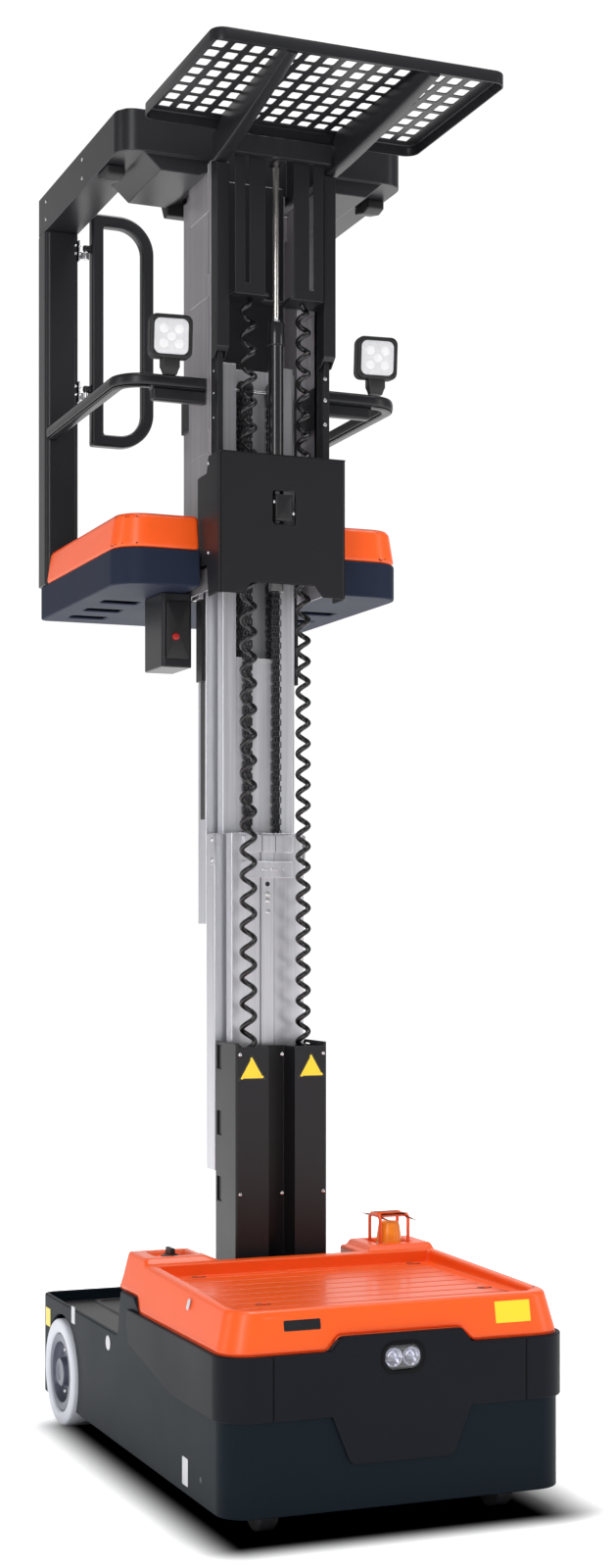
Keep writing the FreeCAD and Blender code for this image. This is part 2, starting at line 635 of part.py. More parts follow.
def channel(front, bottom, top, half=CHANNEL_HALF):
    """The rear of a section: a lipped channel with hollow sides, and guide pads near its top."""
    rear = front + CHANNEL_DEPTH
    cavity = block(-CHANNEL_INNER, CHANNEL_INNER, front + WEB, rear - LIP, bottom - 1, top + 1)
    mouth = block(-LIP_HALF, LIP_HALF, front + WEB, rear + 1, bottom - 1, top + 1)
    side = block(CHANNEL_INNER + WEB, half - WEB, front + WEB, rear - LIP, bottom - 1, top + 1)
    near, far = front + WEB + CLEAR + 4, rear - LIP - CLEAR - 3
    pad = block(HEAD_HALF + SEAT, CHANNEL_INNER + 1, near, far, top - 60, top - 10)
    profile = [(-half, front, 3), (half, front, 3), (half, rear), (-half, rear)]
    return fuse(cut(prism("xy", profile, bottom, top), fuse(cavity, mouth), *both(side)), *both(pad))


def mast_base():
    front = STAGE2_Y - CLEAR - WEB
    half = SHIELD_HALF - SHEET - SEAT
    base = channel(front, STAGE1_BOTTOM, STAGE1_TOP - 10, half)
    slot = CROSSBAR_HALF + CLEAR + 1
    base = base.cut(block(-slot, slot, front - 1, front + WEB + 1, STAGE1_BOTTOM + 19, STAGE1_TOP))
    foot = block(-half, half, front - 12, front, STAGE1_BOTTOM, STAGE1_BOTTOM + 8)
    rib = block(half - 10, half - 4, front - 12, front + 1, STAGE1_BOTTOM, REAR_TOP)
    return fuse(base, foot, *both(rib))


def section(front, bottom, top, opening):
    return fuse(tongue(front, bottom, top, opening), channel(front + HEAD_DEPTH + NECK_DEPTH, bottom, top))


def mast_shield():
    """A folded sheet round the fixed mast, open behind, with a channel for the cylinder and side windows."""
    half, near, far = SHIELD_HALF, SHIELD_FRONT, SHIELD_REAR
    inner, slot = half - SHEET, SLOT_HALF
    folded = [
        (-half, far), (-half, near, 6), (-slot, near), (-slot, SLOT_REAR), (slot, SLOT_REAR), (slot, near),
        (half, near, 6), (half, far), (inner, far), (inner, near + SHEET), (slot + SHEET, near + SHEET),
        (slot + SHEET, SLOT_REAR + SHEET), (-slot - SHEET, SLOT_REAR + SHEET), (-slot - SHEET, near + SHEET),
        (-inner, near + SHEET), (-inner, far),
    ]
    shell = prism("xy", folded, STAGE1_BOTTOM, STAGE1_TOP)
    step = block(8 - half, half - 8, near - 1, near + 90, STAGE1_TOP - 9, STAGE1_TOP + 1)
    above = STAGE1_TOP + 1
    trim = prism("yz", [(far - 8, above), (far + 1, above), (far + 1, above - 9)], -half - 1, half + 1)
    windows = []
    for z in WINDOW_Z:
        windows += both(block(inner - 1, half + 1, WINDOW_NEAR, WINDOW_FAR, z, z + WINDOW_HEIGHT))
    return cut(shell, step, trim, *windows)


def stage_2():
    """The middle section, with the crossbar that lifts it and the black strip down its front."""
    bar_top = STAGE2_TOP - 6
    bar_bottom = bar_top - CROSSBAR_HEIGHT
    front = STAGE2_Y - CROSSBAR_DEPTH
    bar = prism("xz", chamfered(-CROSSBAR_HALF, CROSSBAR_HALF, bar_bottom, bar_top, 3), front, STAGE2_Y)
    front = STAGE2_Y - STRIP_DEPTH
    strip = block(-STRIP_HALF, STRIP_HALF, front, STAGE2_Y, STAGE2_BOTTOM + 20, bar_bottom)
    return fuse(section(STAGE2_Y, STAGE2_BOTTOM, STAGE2_TOP, 0), bar, strip)


def stage_3():
    return section(STAGE3_Y, STAGE3_BOTTOM, STAGE3_TOP, NECK_HALF - 1.5)


def lift_chains():
    """A wide leaf chain over a pulley, whose pin ends in bushes at the walls of the section's head."""
    middle = STAGE3_Y + PULLEY_R
    reach = HEAD_HALF - SKIN
    pin = across(PULLEY_PIN_R, -reach, reach, middle, PULLEY_Z)
    flanges = across(PULLEY_R - 1.5, -CHAIN_HALF - 3, CHAIN_HALF + 3, middle, PULLEY_Z)
    low, high = STAGE3_BOTTOM + 10, PULLEY_Z + PULLEY_R
    loop = prism("yz", chain_outline(middle, PULLEY_R, low, high), -CHAIN_HALF, CHAIN_HALF)
    inside = chain_outline(middle, PULLEY_R - CHAIN_DEPTH, low - 1, high - CHAIN_DEPTH)
    loop = loop.cut(prism("yz", inside, -CHAIN_HALF - 1, CHAIN_HALF + 1))
    return fuse(pin, flanges, loop)


def chain_outline(middle, radius, low, high):
    near, far = middle - radius, middle + radius
    return [(near, low), (near, high, radius), (far, high, radius), (far, low)]


# Carriage
def carriage_column():
    """The last sliding tongue, on the front of the carriage's hollow box column."""
    corners = chamfered(-CHANNEL_HALF, CHANNEL_HALF, SPINE_Y, SPINE_REAR, 3)
    spine = prism("xy", corners, COLUMN_BOTTOM, COLUMN_TOP)
    wall = SPINE_WALL
    half = CHANNEL_HALF - wall
    hollow = block(-half, half, SPINE_Y + wall, SPINE_REAR - wall, COLUMN_BOTTOM - 1, COLUMN_TOP + 1)
    return fuse(tongue(COLUMN_Y, COLUMN_BOTTOM, COLUMN_TOP, 0), spine.cut(hollow))


def carriage_rails():
    """Side plates bolted to the column, each with the T rail that guides a tray slide."""
    low = PAN_BOTTOM - SIDE_DROP
    near, far, top = SPINE_Y - SIDE_DEPTH, SPINE_Y + SIDE_REAR, COLUMN_TOP - 35
    side = prism("yz", [
        (near, low), (SPINE_Y - 10, low), (SPINE_Y - 10, COLUMN_BOTTOM + 10),
        (far, RIM_BOTTOM + 10), (far, top), (near, top),
    ], RAIL_INNER + 0.5, BRACKET_INNER)
    links = [block(CHANNEL_HALF, BRACKET_INNER, SPINE_Y + 5, far, z, z + 60) for z in link_z()]
    rear = RAIL_BACK + RAIL_PLATE
    base = block(RAIL_INNER, RAIL_OUTER, RAIL_BACK, rear, BOX_TOP + 2, RAILS_TOP)
    web = block(RAIL_WEB_IN, RAIL_WEB_OUT, RAIL_FRONT, RAIL_BACK + 1, BOX_TOP + 2, RAILS_TOP)
    tabs = [block(BRACKET_INNER, RAIL_OUTER, rear - 1, SPINE_Y - 40, z, z + 50) for z in tab_z()]
    half = RAIL_INNER + 1
    cross = block(-half, half, RAIL_BACK + 1, rear - 1, CORD_TOP, CORD_TOP + 12)
    return fuse(*both(fuse(side, base, web, *links, *tabs)), cross)


def link_z():
    return RIM_BOTTOM + 30, RAIL_Z + 35, COLUMN_TOP - 105


def tab_z():
    return BOX_TOP + 12, RAIL_Z + 195, COLUMN_TOP - 115


def cover_panels():
    """Two slotted panels in front of the coiled cords, on the shelf that holds the cord ends."""
    back = RAIL_BACK + 1
    shelf = block(-PANEL_OUT, PANEL_OUT, PANEL_FRONT, back, CORD_TOP, CORD_TOP + PLATE)
    bore = GLAND_R + CLEAR
    hole = block(-bore, bore, PANEL_FRONT - 1, TRAY_AXIS_Y + bore, CORD_TOP - 1, CORD_TOP + PLATE + 1)
    corners = chamfered(PANEL_IN, PANEL_OUT, CORD_TOP, PANEL_TOP, 6)
    panel = prism("xz", corners, PANEL_FRONT, PANEL_FRONT + SHEET)
    slot = (PANEL_IN + PANEL_OUT) / 2 + 7
    far = PANEL_FRONT + SHEET + 1
    opening = block(slot - 5, slot + 5, PANEL_FRONT - 1, far, CORD_TOP + 25, PANEL_TOP + 1)
    return fuse(shelf.cut(hole), *both(panel.cut(opening)))


def box_outline(inset, far):
    half, near, nose = BOX_HALF - inset, BOX_FRONT + inset, BOX_NOSE_HALF + inset / 2
    wing = near + BOX_CHAMFER - inset / 2
    return [(-half, wing), (-nose, near, 8), (nose, near, 8), (half, wing), (half, far), (-half, far)]


def front_box():
    """The folded box that drops over the mast shield, with the web that holds the tray cylinder."""
    far = SPINE_Y - 30
    shell = prism("xy", box_outline(0, far), BOX_BOTTOM, BOX_TOP)
    shell = shell.cut(prism("xy", box_outline(BOX_SHEET, far + 1), BOX_BOTTOM - 1, BOX_TOP + 1))
    near = BOX_FRONT - 1
    half, top = BOX_NOTCH_HALF, BOX_BOTTOM + 26
    under = BOX_BOTTOM - 1
    notch = prism("xz", [(-half, under), (half, under), (half - 20, top), (20 - half, top)], near, near + 8)
    low, high = BOX_BOTTOM + BOX_WINDOW_LOW, BOX_BOTTOM + BOX_WINDOW_HIGH
    window = prism("xz", chamfered(BOX_WINDOW_X0, BOX_WINDOW_X1, low, high, 3), near, near + 8)
    start, beyond, above = STAGE2_Y - 1, far + 1, BOX_TOP + 1
    low, high = BOX_BOTTOM + BOX_TRIM, BOX_TOP - BOX_TRIM_TOP
    below_side = [(start, under), (beyond, under), (beyond, low), (start + 20, low)]
    above_side = [(start, above), (beyond, above), (beyond, high), (start + 20, high)]
    trims = [prism("yz", corners, -BOX_HALF - 1, BOX_HALF + 1) for corners in (below_side, above_side)]
    flange = block(BRACKET_INNER, BOX_HALF, far - 18, far, low, high)
    web = block(-8, 8, BOX_FRONT + 1, TRAY_AXIS_Y - CYLINDER_R + 1, BOX_BOTTOM + 44, BOX_BOTTOM + 164)
    shell = fuse(cut(shell, notch, window, *trims), *both(flange), web)
    return shell.cut(upright(CYLINDER_R, 0, TRAY_AXIS_Y, BOX_BOTTOM, BOX_TOP))


def cage_outline(inset, radius, rear_radius):
    half = CAGE_HALF - inset
    near, far = PLATFORM_FRONT + inset, PLATFORM_REAR - inset
    return [(-half, near, radius), (half, near, radius), (half, far, rear_radius), (-half, far, rear_radius)]


def platform_pan():
    """A hollow floor pan, its underside pierced by six windows, with a pocket for the mast."""
    pan = prism("xy", cage_outline(0, CAGE_CORNER, 20), PAN_BOTTOM, RIM_BOTTOM)
    inside = cage_outline(PAN_WALL, CAGE_CORNER - PAN_WALL, 0)
    pan = pan.cut(prism("xy", inside, PAN_BOTTOM + PLATE, RIM_BOTTOM - PLATE))
    gap = block(-MAST_GAP_HALF, MAST_GAP_HALF, PLATFORM_FRONT - 1, SPINE_REAR, PAN_BOTTOM - 1, RIM_BOTTOM + 1)
    windows = []
    for v in (SPINE_REAR + 70, SPINE_REAR + 210, SPINE_REAR + 340):
        corners = chamfered(CAGE_HALF - 142, CAGE_HALF - 52, v - 25, v + 25, 6)
        windows += both(prism("xy", corners, PAN_BOTTOM - 1, PAN_BOTTOM + PLATE + 1))
    outer = MAST_GAP_HALF + PAN_WALL
    side = block(MAST_GAP_HALF, outer, PLATFORM_FRONT + 2, SPINE_REAR, PAN_BOTTOM, RIM_BOTTOM)
    rear = block(-outer, outer, SPINE_REAR, SPINE_REAR + PAN_WALL, PAN_BOTTOM, RIM_BOTTOM)
    return fuse(cut(pan, gap, *windows), *both(side), rear)


def post_space():
    """The room of one rear post, grown outwards, as it is cut from the rim and the mat."""
    return block(POST_INNER, HALF_WIDTH, POST_FRONT, LENGTH + 1, RIM_BOTTOM - 1, RIM_TOP + 1)


def platform_rim():
    """The orange kerb round the platform, leaning in a little, with a low step at the rear entrance."""
    half, near, far = CAGE_HALF, PLATFORM_FRONT, PLATFORM_REAR
    low = [(-half, near, CAGE_CORNER), (half, near, CAGE_CORNER), (half, far), (-half, far)]
    half, near, far = half - 12, near + 12, far - 4
    high = [(-half, near, CAGE_CORNER - 10), (half, near, CAGE_CORNER - 10), (half, far), (-half, far)]
    rim = loft(low, RIM_BOTTOM, high, RIM_TOP)
    rim = rim.cut(prism("xy", cage_outline(26, CAGE_CORNER - 22, 0), RIM_BOTTOM - 1, RIM_TOP + 1))
    half, above = MAST_GAP_HALF, RIM_TOP + 1
    mast = block(-half, half, PLATFORM_FRONT - 1, SPINE_REAR - 28, RIM_BOTTOM - 1, above)
    half = POST_INNER - 42
    entrance = block(-half, half, POST_FRONT + 10, LENGTH, RIM_BOTTOM + 30, above)
    return cut(rim, mast, entrance, *both(post_space()))


def platform_mat():
    mat = prism("xy", cage_outline(26 + SEAT, CAGE_CORNER - 22, 0), RIM_BOTTOM, RIM_BOTTOM + MAT)
    outer = MAST_GAP_HALF + 10
    mast = block(-outer, outer, PLATFORM_FRONT - 1, SPINE_REAR + 10, RIM_BOTTOM - 1, RIM_TOP)
    return cut(mat, mast, *both(post_space()))


def control_box():
    """The steering and drive controller that hangs under the platform, with its round gland in front."""
    near, far = SPINE_REAR - 130, SPINE_REAR + 7
    bottom = PAN_BOTTOM - CONTROL_DEPTH
    box = prism("xy", chamfered(CONTROL_OUT, CONTROL_IN, near, far, 5), bottom, PAN_BOTTOM)
    middle = (CONTROL_IN + CONTROL_OUT) / 2
    return fuse(box, rod(9, (middle, near - 4, bottom + 83), (middle, near + 1, bottom + 83)))


def rear_posts():
    far = LENGTH
    wall = POST_WALL
    post = prism("xy", chamfered(POST_INNER, CAGE_HALF, POST_FRONT, far, 9), RIM_BOTTOM, CONSOLE_BOTTOM)
    inside = chamfered(POST_INNER + wall, CAGE_HALF - wall, POST_FRONT + wall, far - wall, 6)
    hollow = prism("xy", inside, RIM_BOTTOM + 8, CONSOLE_BOTTOM + 1)
    return both(post.cut(hollow))


def console():
    """The cage's top frame: a hollow moulding open to the rear, slotted for the mast and stepped beside it."""
    half, near = CAGE_HALF, CONSOLE_FRONT
    corners = [(-half, near, 50), (half, near, 50), (half, LENGTH, 16), (-half, LENGTH, 16)]
    frame = prism("xy", corners, CONSOLE_BOTTOM, CONSOLE_TOP)
    inner, rear, above = POST_INNER, CONSOLE_REAR, CONSOLE_TOP + 1
    corners = [(-inner, rear, 30), (inner, rear, 30), (inner, LENGTH + 1), (-inner, LENGTH + 1)]
    opening = prism("xy", corners, CONSOLE_BOTTOM - 1, above)
    slot_half = CONSOLE_SLOT_HALF
    slot = block(-slot_half, slot_half, CONSOLE_FRONT - 1, CONSOLE_SLOT_REAR, CONSOLE_BOTTOM - 1, above)
    step = prism("xz", [
        (slot_half + 42, CONSOLE_BOTTOM - 36), (inner - 12, CONSOLE_BOTTOM - 36), (inner + 28, CONSOLE_BOTTOM),
        (slot_half, CONSOLE_BOTTOM), (slot_half, CONSOLE_BOTTOM - 18),
    ], CONSOLE_FRONT + 6, rear - 10)
    wall = 12
    near, far = CONSOLE_FRONT + wall, rear - wall
    inner, outer = slot_half + wall, half - wall
    corners = [(inner, near), (outer - 30, near), (outer, near + 30), (outer, far), (inner, far)]
    pocket = prism("xy", corners, CONSOLE_BOTTOM + 14, CONSOLE_TOP - 10)
    return fuse(cut(frame, opening, slot, *both(pocket)), *both(step))


def control_panel():
    """The sloping panel that faces the operator, with a steering knob and a lift lever."""
    near, low = CONSOLE_REAR, CONSOLE_BOTTOM - 48
    panel = prism("yz", [
        (near, low), (near + 30, low), (near + 110, CONSOLE_TOP - 11),
        (near + 90, CONSOLE_TOP), (near, CONSOLE_TOP),
    ], -150, 150)
    knob = rod(26, (-90, near + 68, CONSOLE_TOP - 71), (-90, near + 90, CONSOLE_TOP - 86))
    lever = rod(14, (95, near + 68, CONSOLE_TOP - 71), (95, near + 108, CONSOLE_TOP - 96))
    return fuse(panel, knob, lever)


def corner_lamps():
    """Two small lamps under the console's front corners, wedge shaped, facing forward."""
    near, top = CONSOLE_FRONT + 112, CONSOLE_BOTTOM
    corners = [(near, top), (near + 80, top), (near + 80, top - 14), (near + 28, top - 26), (near, top - 20)]
    return both(prism("yz", corners, CAGE_HALF - 47, CAGE_HALF - 5))


def handrails():
    """Each side: a bar from the mast bracket round the corner to the rear post, with a beam under its front."""
    x = CAGE_HALF - RAIL_R
    points = [(BRACKET_OUTER - 5, RAIL_Y, RAIL_Z), (x, RAIL_Y, RAIL_Z), (x, POST_FRONT, RAIL_Z)]
    bar = bent_bar(points, RAIL_R, RAIL_R, 6, 60)
    plate = block(BRACKET_INNER, BRACKET_OUTER, RAIL_Y - 16, SPINE_Y + SIDE_REAR, RAIL_Z - 75, RAIL_Z + 20)
    beam = block(BRACKET_INNER, LAMP_X + 30, RAIL_Y - 12, RAIL_Y + 12, RAIL_Z - 44, RAIL_Z - RAIL_R + 1)
    return both(fuse(bar, plate, beam))


def work_lamps():
    """Each side: a square lamp with a finned back, on an arm and stem clamped to the handrail."""
    x, low, near = LAMP_X, WORK_LAMP_BOTTOM, WORK_LAMP_Y
    half = WORK_LAMP_HALF
    back = near + WORK_LAMP_DEPTH
    shell = prism("xz", chamfered(x - half, x + half, low, low + 2 * half, 12), near, back)
    inset = half - 8
    face = prism("xz", chamfered(x - inset, x + inset, low + 8, low + half + inset, 8), near - 1, near + 3)
    fins = [block(x - 40, x + 40, back - 1, back + 12, low + z, low + z + 5) for z in (18, 34, 50, 66, 82)]
    arm = block(x - 10, x + 10, back - 4, near + STEM_BACK, low + 30, low + 44)
    stem = block(x - 7, x + 7, near + STEM_BACK - 12, near + STEM_BACK, RAIL_Z, low + 40)
    foot = block(x - 13, x + 13, near + 50, RAIL_Y - RAIL_R - SEAT, RAIL_Z - 13, RAIL_Z + 13)
    return both(fuse(shell.cut(face), *fins, arm, stem, foot))


def tray_cylinder():
    low, high = CYLINDER_BOTTOM, CYLINDER_TOP
    barrel = upright(CYLINDER_R, 0, TRAY_AXIS_Y, low, high)
    gland = upright(GLAND_R, 0, TRAY_AXIS_Y, high - 28, high)
    bore = upright(ROD_R + 4, 0, TRAY_AXIS_Y, low + 12, high - 40)
    neck = upright(ROD_R + SEAT, 0, TRAY_AXIS_Y, low + 12, high + 1)
    return fuse(barrel, gland).cut(fuse(bore, neck))


def gate():
    """A D-shaped loop of square tube on two hinge leaves with round knuckles."""
    half = GATE_TUBE / 2
    near = GATE_HINGE_X - HINGE_R - CLEAR
    far, low, high = GATE_FREE_X, GATE_BOTTOM, GATE_TOP
    bend = GATE_BEND
    outside = [(near, low), (near, high), (far, high, bend), (far, low, bend)]
    frame = prism("xz", outside, GATE_HINGE_Y - half, GATE_HINGE_Y + half)
    near, far, low, high = near - GATE_TUBE, far + GATE_TUBE, low + GATE_TUBE, high - GATE_TUBE
    bend = min(bend - GATE_TUBE, near - far - 1)
    inside = [(near, low), (near, high), (far, high, bend), (far, low, bend)]
    frame = frame.cut(prism("xz", inside, GATE_HINGE_Y - half - 1, GATE_HINGE_Y + half + 1))
    pieces = [frame]
    for z in HINGE_Z:
        low, high = z + SEAT, z + HINGE_HALF
        pieces.append(upright(HINGE_R, GATE_HINGE_X, GATE_HINGE_Y, low, high))
        pieces.append(block(GATE_HINGE_X - 26, GATE_HINGE_X, GATE_HINGE_Y - 4, GATE_HINGE_Y + 4, low, high))
    return fuse(*pieces)


def gate_hinges():
    """Lift-off hinges: each fixed knuckle carries the gate's one above it, on a plate against the post."""
    solids = []
    for z in HINGE_Z:
        low = z - HINGE_HALF
        middle = GATE_HINGE_Y
        leaf = block(GATE_HINGE_X, POST_INNER, middle - 4, middle + 4, low, z)
        plate = block(POST_INNER - 3, POST_INNER, middle - 13, middle + 32, low - 8, z + HINGE_HALF + 8)
        solids += both(fuse(leaf, plate, upright(HINGE_R, GATE_HINGE_X, GATE_HINGE_Y, low, z)))
    return solids


# Load tray
def tray_grid():
    """A shallow sheet tray with a raised rim, its bottom a grid of square holes."""
    half, low = TRAY_HALF, TRAY_Z - TRAY_SHEET
    shape = prism("xy", rounded(-half, half, TRAY_FRONT, TRAY_REAR, 28), low, TRAY_Z + TRAY_RIM)
    wall = TRAY_SHEET
    inner = rounded(wall - half, half - wall, TRAY_FRONT + wall, TRAY_REAR - wall, 28 - wall)
    shape = shape.cut(prism("xy", inner, TRAY_Z, TRAY_Z + TRAY_RIM + 1))
    pitch_x = 2 * (half - HOLE_MARGIN) / (HOLE_COLUMNS - 1)
    pitch_y = (TRAY_REAR - TRAY_FRONT - 2 * HOLE_MARGIN) / (HOLE_ROWS - 1)
    side = HOLE / 2
    holes = []
    for i in range(HOLE_COLUMNS):
        for j in range(HOLE_ROWS):
            x = HOLE_MARGIN - half + i * pitch_x
            v = TRAY_FRONT + HOLE_MARGIN + j * pitch_y
            holes.append(block(x - side, x + side, v - side, v + side, low - 1, TRAY_Z + 1))
    return shape.cut(Part.makeCompound(holes))


def tray_arms():
    """Two tapering arms under the tray, joined behind it by the bar that the rod lifts."""
    rear = TRAY_AXIS_Y + 3
    top = TRAY_Z - TRAY_SHEET
    side = [
        (TRAY_FRONT + 36, top), (TRAY_FRONT + 36, TRAY_Z - ARM_TIP), (TRAY_REAR - 58, TRAY_Z - ARM_DEPTH),
        (rear, TRAY_Z - ARM_DEPTH), (rear, top),
    ]
    arm = prism("yz", side, SLIDE_INNER, SLIDE_OUTER + 7)
    cross = block(-SLIDE_INNER - 2, SLIDE_INNER + 2, rear - 13, rear, TRAY_Z - 40, top)
    return fuse(*both(arm), cross)


def tray_slides():
    """Each side: a channel that runs round the T rail on two shoes, its foot cut to a point."""
    top = TRAY_Z - ARM_DEPTH
    bottom = top - SLIDE_LENGTH
    near = TRAY_AXIS_Y - 8
    slide = block(SLIDE_INNER, SLIDE_OUTER, near, near + SLIDE_DEPTH, bottom, top)
    inner, outer = SLIDE_INNER + 4, SLIDE_OUTER - 4
    slide = slide.cut(block(inner, outer, near + 11, near + SLIDE_DEPTH + 1, bottom - 1, top + 1))
    foot = [(near - 1, bottom - 1), (near - 1, bottom + 22), (near + 26, bottom - 1)]
    slide = slide.cut(prism("yz", foot, SLIDE_INNER - 1, SLIDE_OUTER + 1))
    shoes = []
    for z in (bottom + 30, top - SHOE_HEIGHT - 8):
        shoes.append(block(SLIDE_INNER + 3, RAIL_WEB_IN - SEAT, near + 22, near + 36, z, z + SHOE_HEIGHT))
    return both(fuse(slide, *shoes))


def cylinder_rod():
    return upright(ROD_R, 0, TRAY_AXIS_Y, CYLINDER_TOP - ROD_INSIDE, TRAY_Z - 40)


def coil_cord():
    return upright(CORD_R, CORD_X, TRAY_AXIS_Y, CORD_BOTTOM, CORD_TOP)


WHOLE = {
    "base_shell": base_shell, "base_frame": base_frame, "front_band": front_band, "headlamp": headlamp,
    "deck_cover": deck_cover, "deck_knob": deck_knob, "beacon": beacon, "beacon_guard": beacon_guard,
    "battery_block": battery_block, "rear_cover": rear_cover, "mast_base": mast_base, "mast_shield": mast_shield,
    "stage_2": stage_2, "stage_3": stage_3, "lift_chains": lift_chains, "carriage_column": carriage_column,
    "carriage_rails": carriage_rails, "cover_panels": cover_panels, "front_box": front_box,
    "platform_pan": platform_pan, "platform_rim": platform_rim, "platform_mat": platform_mat,
    "control_box": control_box, "console": console, "control_panel": control_panel,
    "tray_cylinder": tray_cylinder, "tray_grid": tray_grid, "tray_arms": tray_arms, "cylinder_rod": cylinder_rod,
}
SEVERAL = {
    "drive_units": drive_units, "rear_posts": rear_posts, "corner_lamps": corner_lamps, "handrails": handrails,
    "work_lamps": work_lamps, "gate_hinges": gate_hinges, "tray_slides": tray_slides,
}
SIDED = {
    "drive_tyre": drive_wheel()[0], "drive_hub": drive_wheel()[1], "caster_fork": caster_fork(),
    "caster_wheel": caster_wheel(), "gate": gate(), "coil_cord": coil_cord(),
}
for node, make in WHOLE.items():
    save(node, make())
for node, make in SEVERAL.items():
    save(node, *make())
for node, shape in SIDED.items():
    save(node + "_left", mirror(shape))
    save(node + "_right", shape)
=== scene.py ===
import json
import math

import bmesh
import bpy
import numpy as np
from mathutils import Euler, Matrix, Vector

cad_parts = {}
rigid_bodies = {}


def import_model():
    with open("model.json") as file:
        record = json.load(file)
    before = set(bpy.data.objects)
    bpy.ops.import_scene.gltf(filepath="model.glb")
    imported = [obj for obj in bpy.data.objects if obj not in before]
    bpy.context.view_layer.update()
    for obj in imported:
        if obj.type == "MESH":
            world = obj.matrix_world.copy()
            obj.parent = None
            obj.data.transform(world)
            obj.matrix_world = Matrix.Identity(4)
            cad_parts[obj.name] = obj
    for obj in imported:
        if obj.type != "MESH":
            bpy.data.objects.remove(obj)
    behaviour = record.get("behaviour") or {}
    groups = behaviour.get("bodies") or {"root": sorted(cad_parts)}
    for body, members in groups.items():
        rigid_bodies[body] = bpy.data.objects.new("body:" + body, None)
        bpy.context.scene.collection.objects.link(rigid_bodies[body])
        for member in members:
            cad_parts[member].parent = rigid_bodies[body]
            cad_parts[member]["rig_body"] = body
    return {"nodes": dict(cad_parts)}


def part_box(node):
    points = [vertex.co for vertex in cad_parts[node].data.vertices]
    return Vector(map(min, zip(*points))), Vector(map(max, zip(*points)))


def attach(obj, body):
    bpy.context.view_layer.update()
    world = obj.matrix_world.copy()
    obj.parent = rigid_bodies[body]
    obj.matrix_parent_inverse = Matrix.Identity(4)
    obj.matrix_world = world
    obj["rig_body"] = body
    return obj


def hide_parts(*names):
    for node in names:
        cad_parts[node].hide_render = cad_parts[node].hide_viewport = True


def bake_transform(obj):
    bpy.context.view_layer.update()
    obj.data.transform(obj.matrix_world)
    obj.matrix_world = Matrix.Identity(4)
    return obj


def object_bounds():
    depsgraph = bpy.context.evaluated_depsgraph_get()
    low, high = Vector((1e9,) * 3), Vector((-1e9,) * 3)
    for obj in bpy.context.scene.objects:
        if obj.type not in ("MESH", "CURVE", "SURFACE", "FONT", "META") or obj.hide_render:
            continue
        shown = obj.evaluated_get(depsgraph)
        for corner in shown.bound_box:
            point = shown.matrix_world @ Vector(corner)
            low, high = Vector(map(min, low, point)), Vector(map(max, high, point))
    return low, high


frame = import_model()
cad_box = [list(corner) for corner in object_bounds()]
nodes = frame["nodes"]
front_y = cad_box[0][1]

# Camera
# The photograph is taken from the left front corner at chest height, with the verticals kept upright.
# Its place and lens come from points of the truck whose sizes are known.
photo_height = 1600
focal_px = 2243.0
horizon_px = 947.0
camera_data = bpy.data.cameras.new("camera")
camera_data.sensor_fit = "VERTICAL"
camera_data.sensor_height = 36.0
camera_data.lens = focal_px / photo_height * camera_data.sensor_height
camera_data.shift_y = (horizon_px - photo_height / 2) / photo_height
camera_data.clip_end = 60.0
camera = bpy.data.objects.new("camera", camera_data)
camera.location = (-1.786, front_y - 3.916, 1.180)
camera.rotation_euler = Euler((math.radians(90), 0, math.radians(-22.02)))
bpy.context.scene.collection.objects.link(camera)
bpy.context.scene.camera = camera

# Studio
# A white seamless floor that runs into a white background, as in a catalogue photograph, with a soft shadow
# painted into it round the truck.
# Broad soft lights stand at the left front and at the right, and a weaker one hangs above.
bpy.context.scene.view_settings.view_transform = "Standard"
studio_white = (1.0, 1.0, 1.0)
backdrop_way = (0.375, 0.927, 0.0)
room_dim, room_bright = 0.22, 1.05
floor_reach = 30.0
floor_glow = 0.65
# Painted shadow: the floor is darkened inside these x and y spans round the truck, softer on their high
# sides, fading out over shadow_reach.
shadow_sides, shadow_ends, shadow_reach = (-0.335, 0.300, 0.55), (-0.715, 0.395, 1.0), 0.14


def new_material(name):
    """An empty node material with its Principled shader joined to the output."""
    material = bpy.data.materials.new(name)
    material.use_nodes = True
    tree = material.node_tree
    tree.nodes.clear()
    shader = tree.nodes.new("ShaderNodeBsdfPrincipled")
    output = tree.nodes.new("ShaderNodeOutputMaterial")
    tree.links.new(shader.outputs["BSDF"], output.inputs["Surface"])
    return material, tree, shader


def math_node(tree, operation, a, b=None, clamp=False):
    node = tree.nodes.new("ShaderNodeMath")
    node.operation = operation
    node.use_clamp = clamp
    for i, value in enumerate((a, b)):
        if value is None:
            continue
        if isinstance(value, (int, float)):
            node.inputs[i].default_value = value
        else:
            tree.links.new(value, node.inputs[i])
    return node.outputs[0]


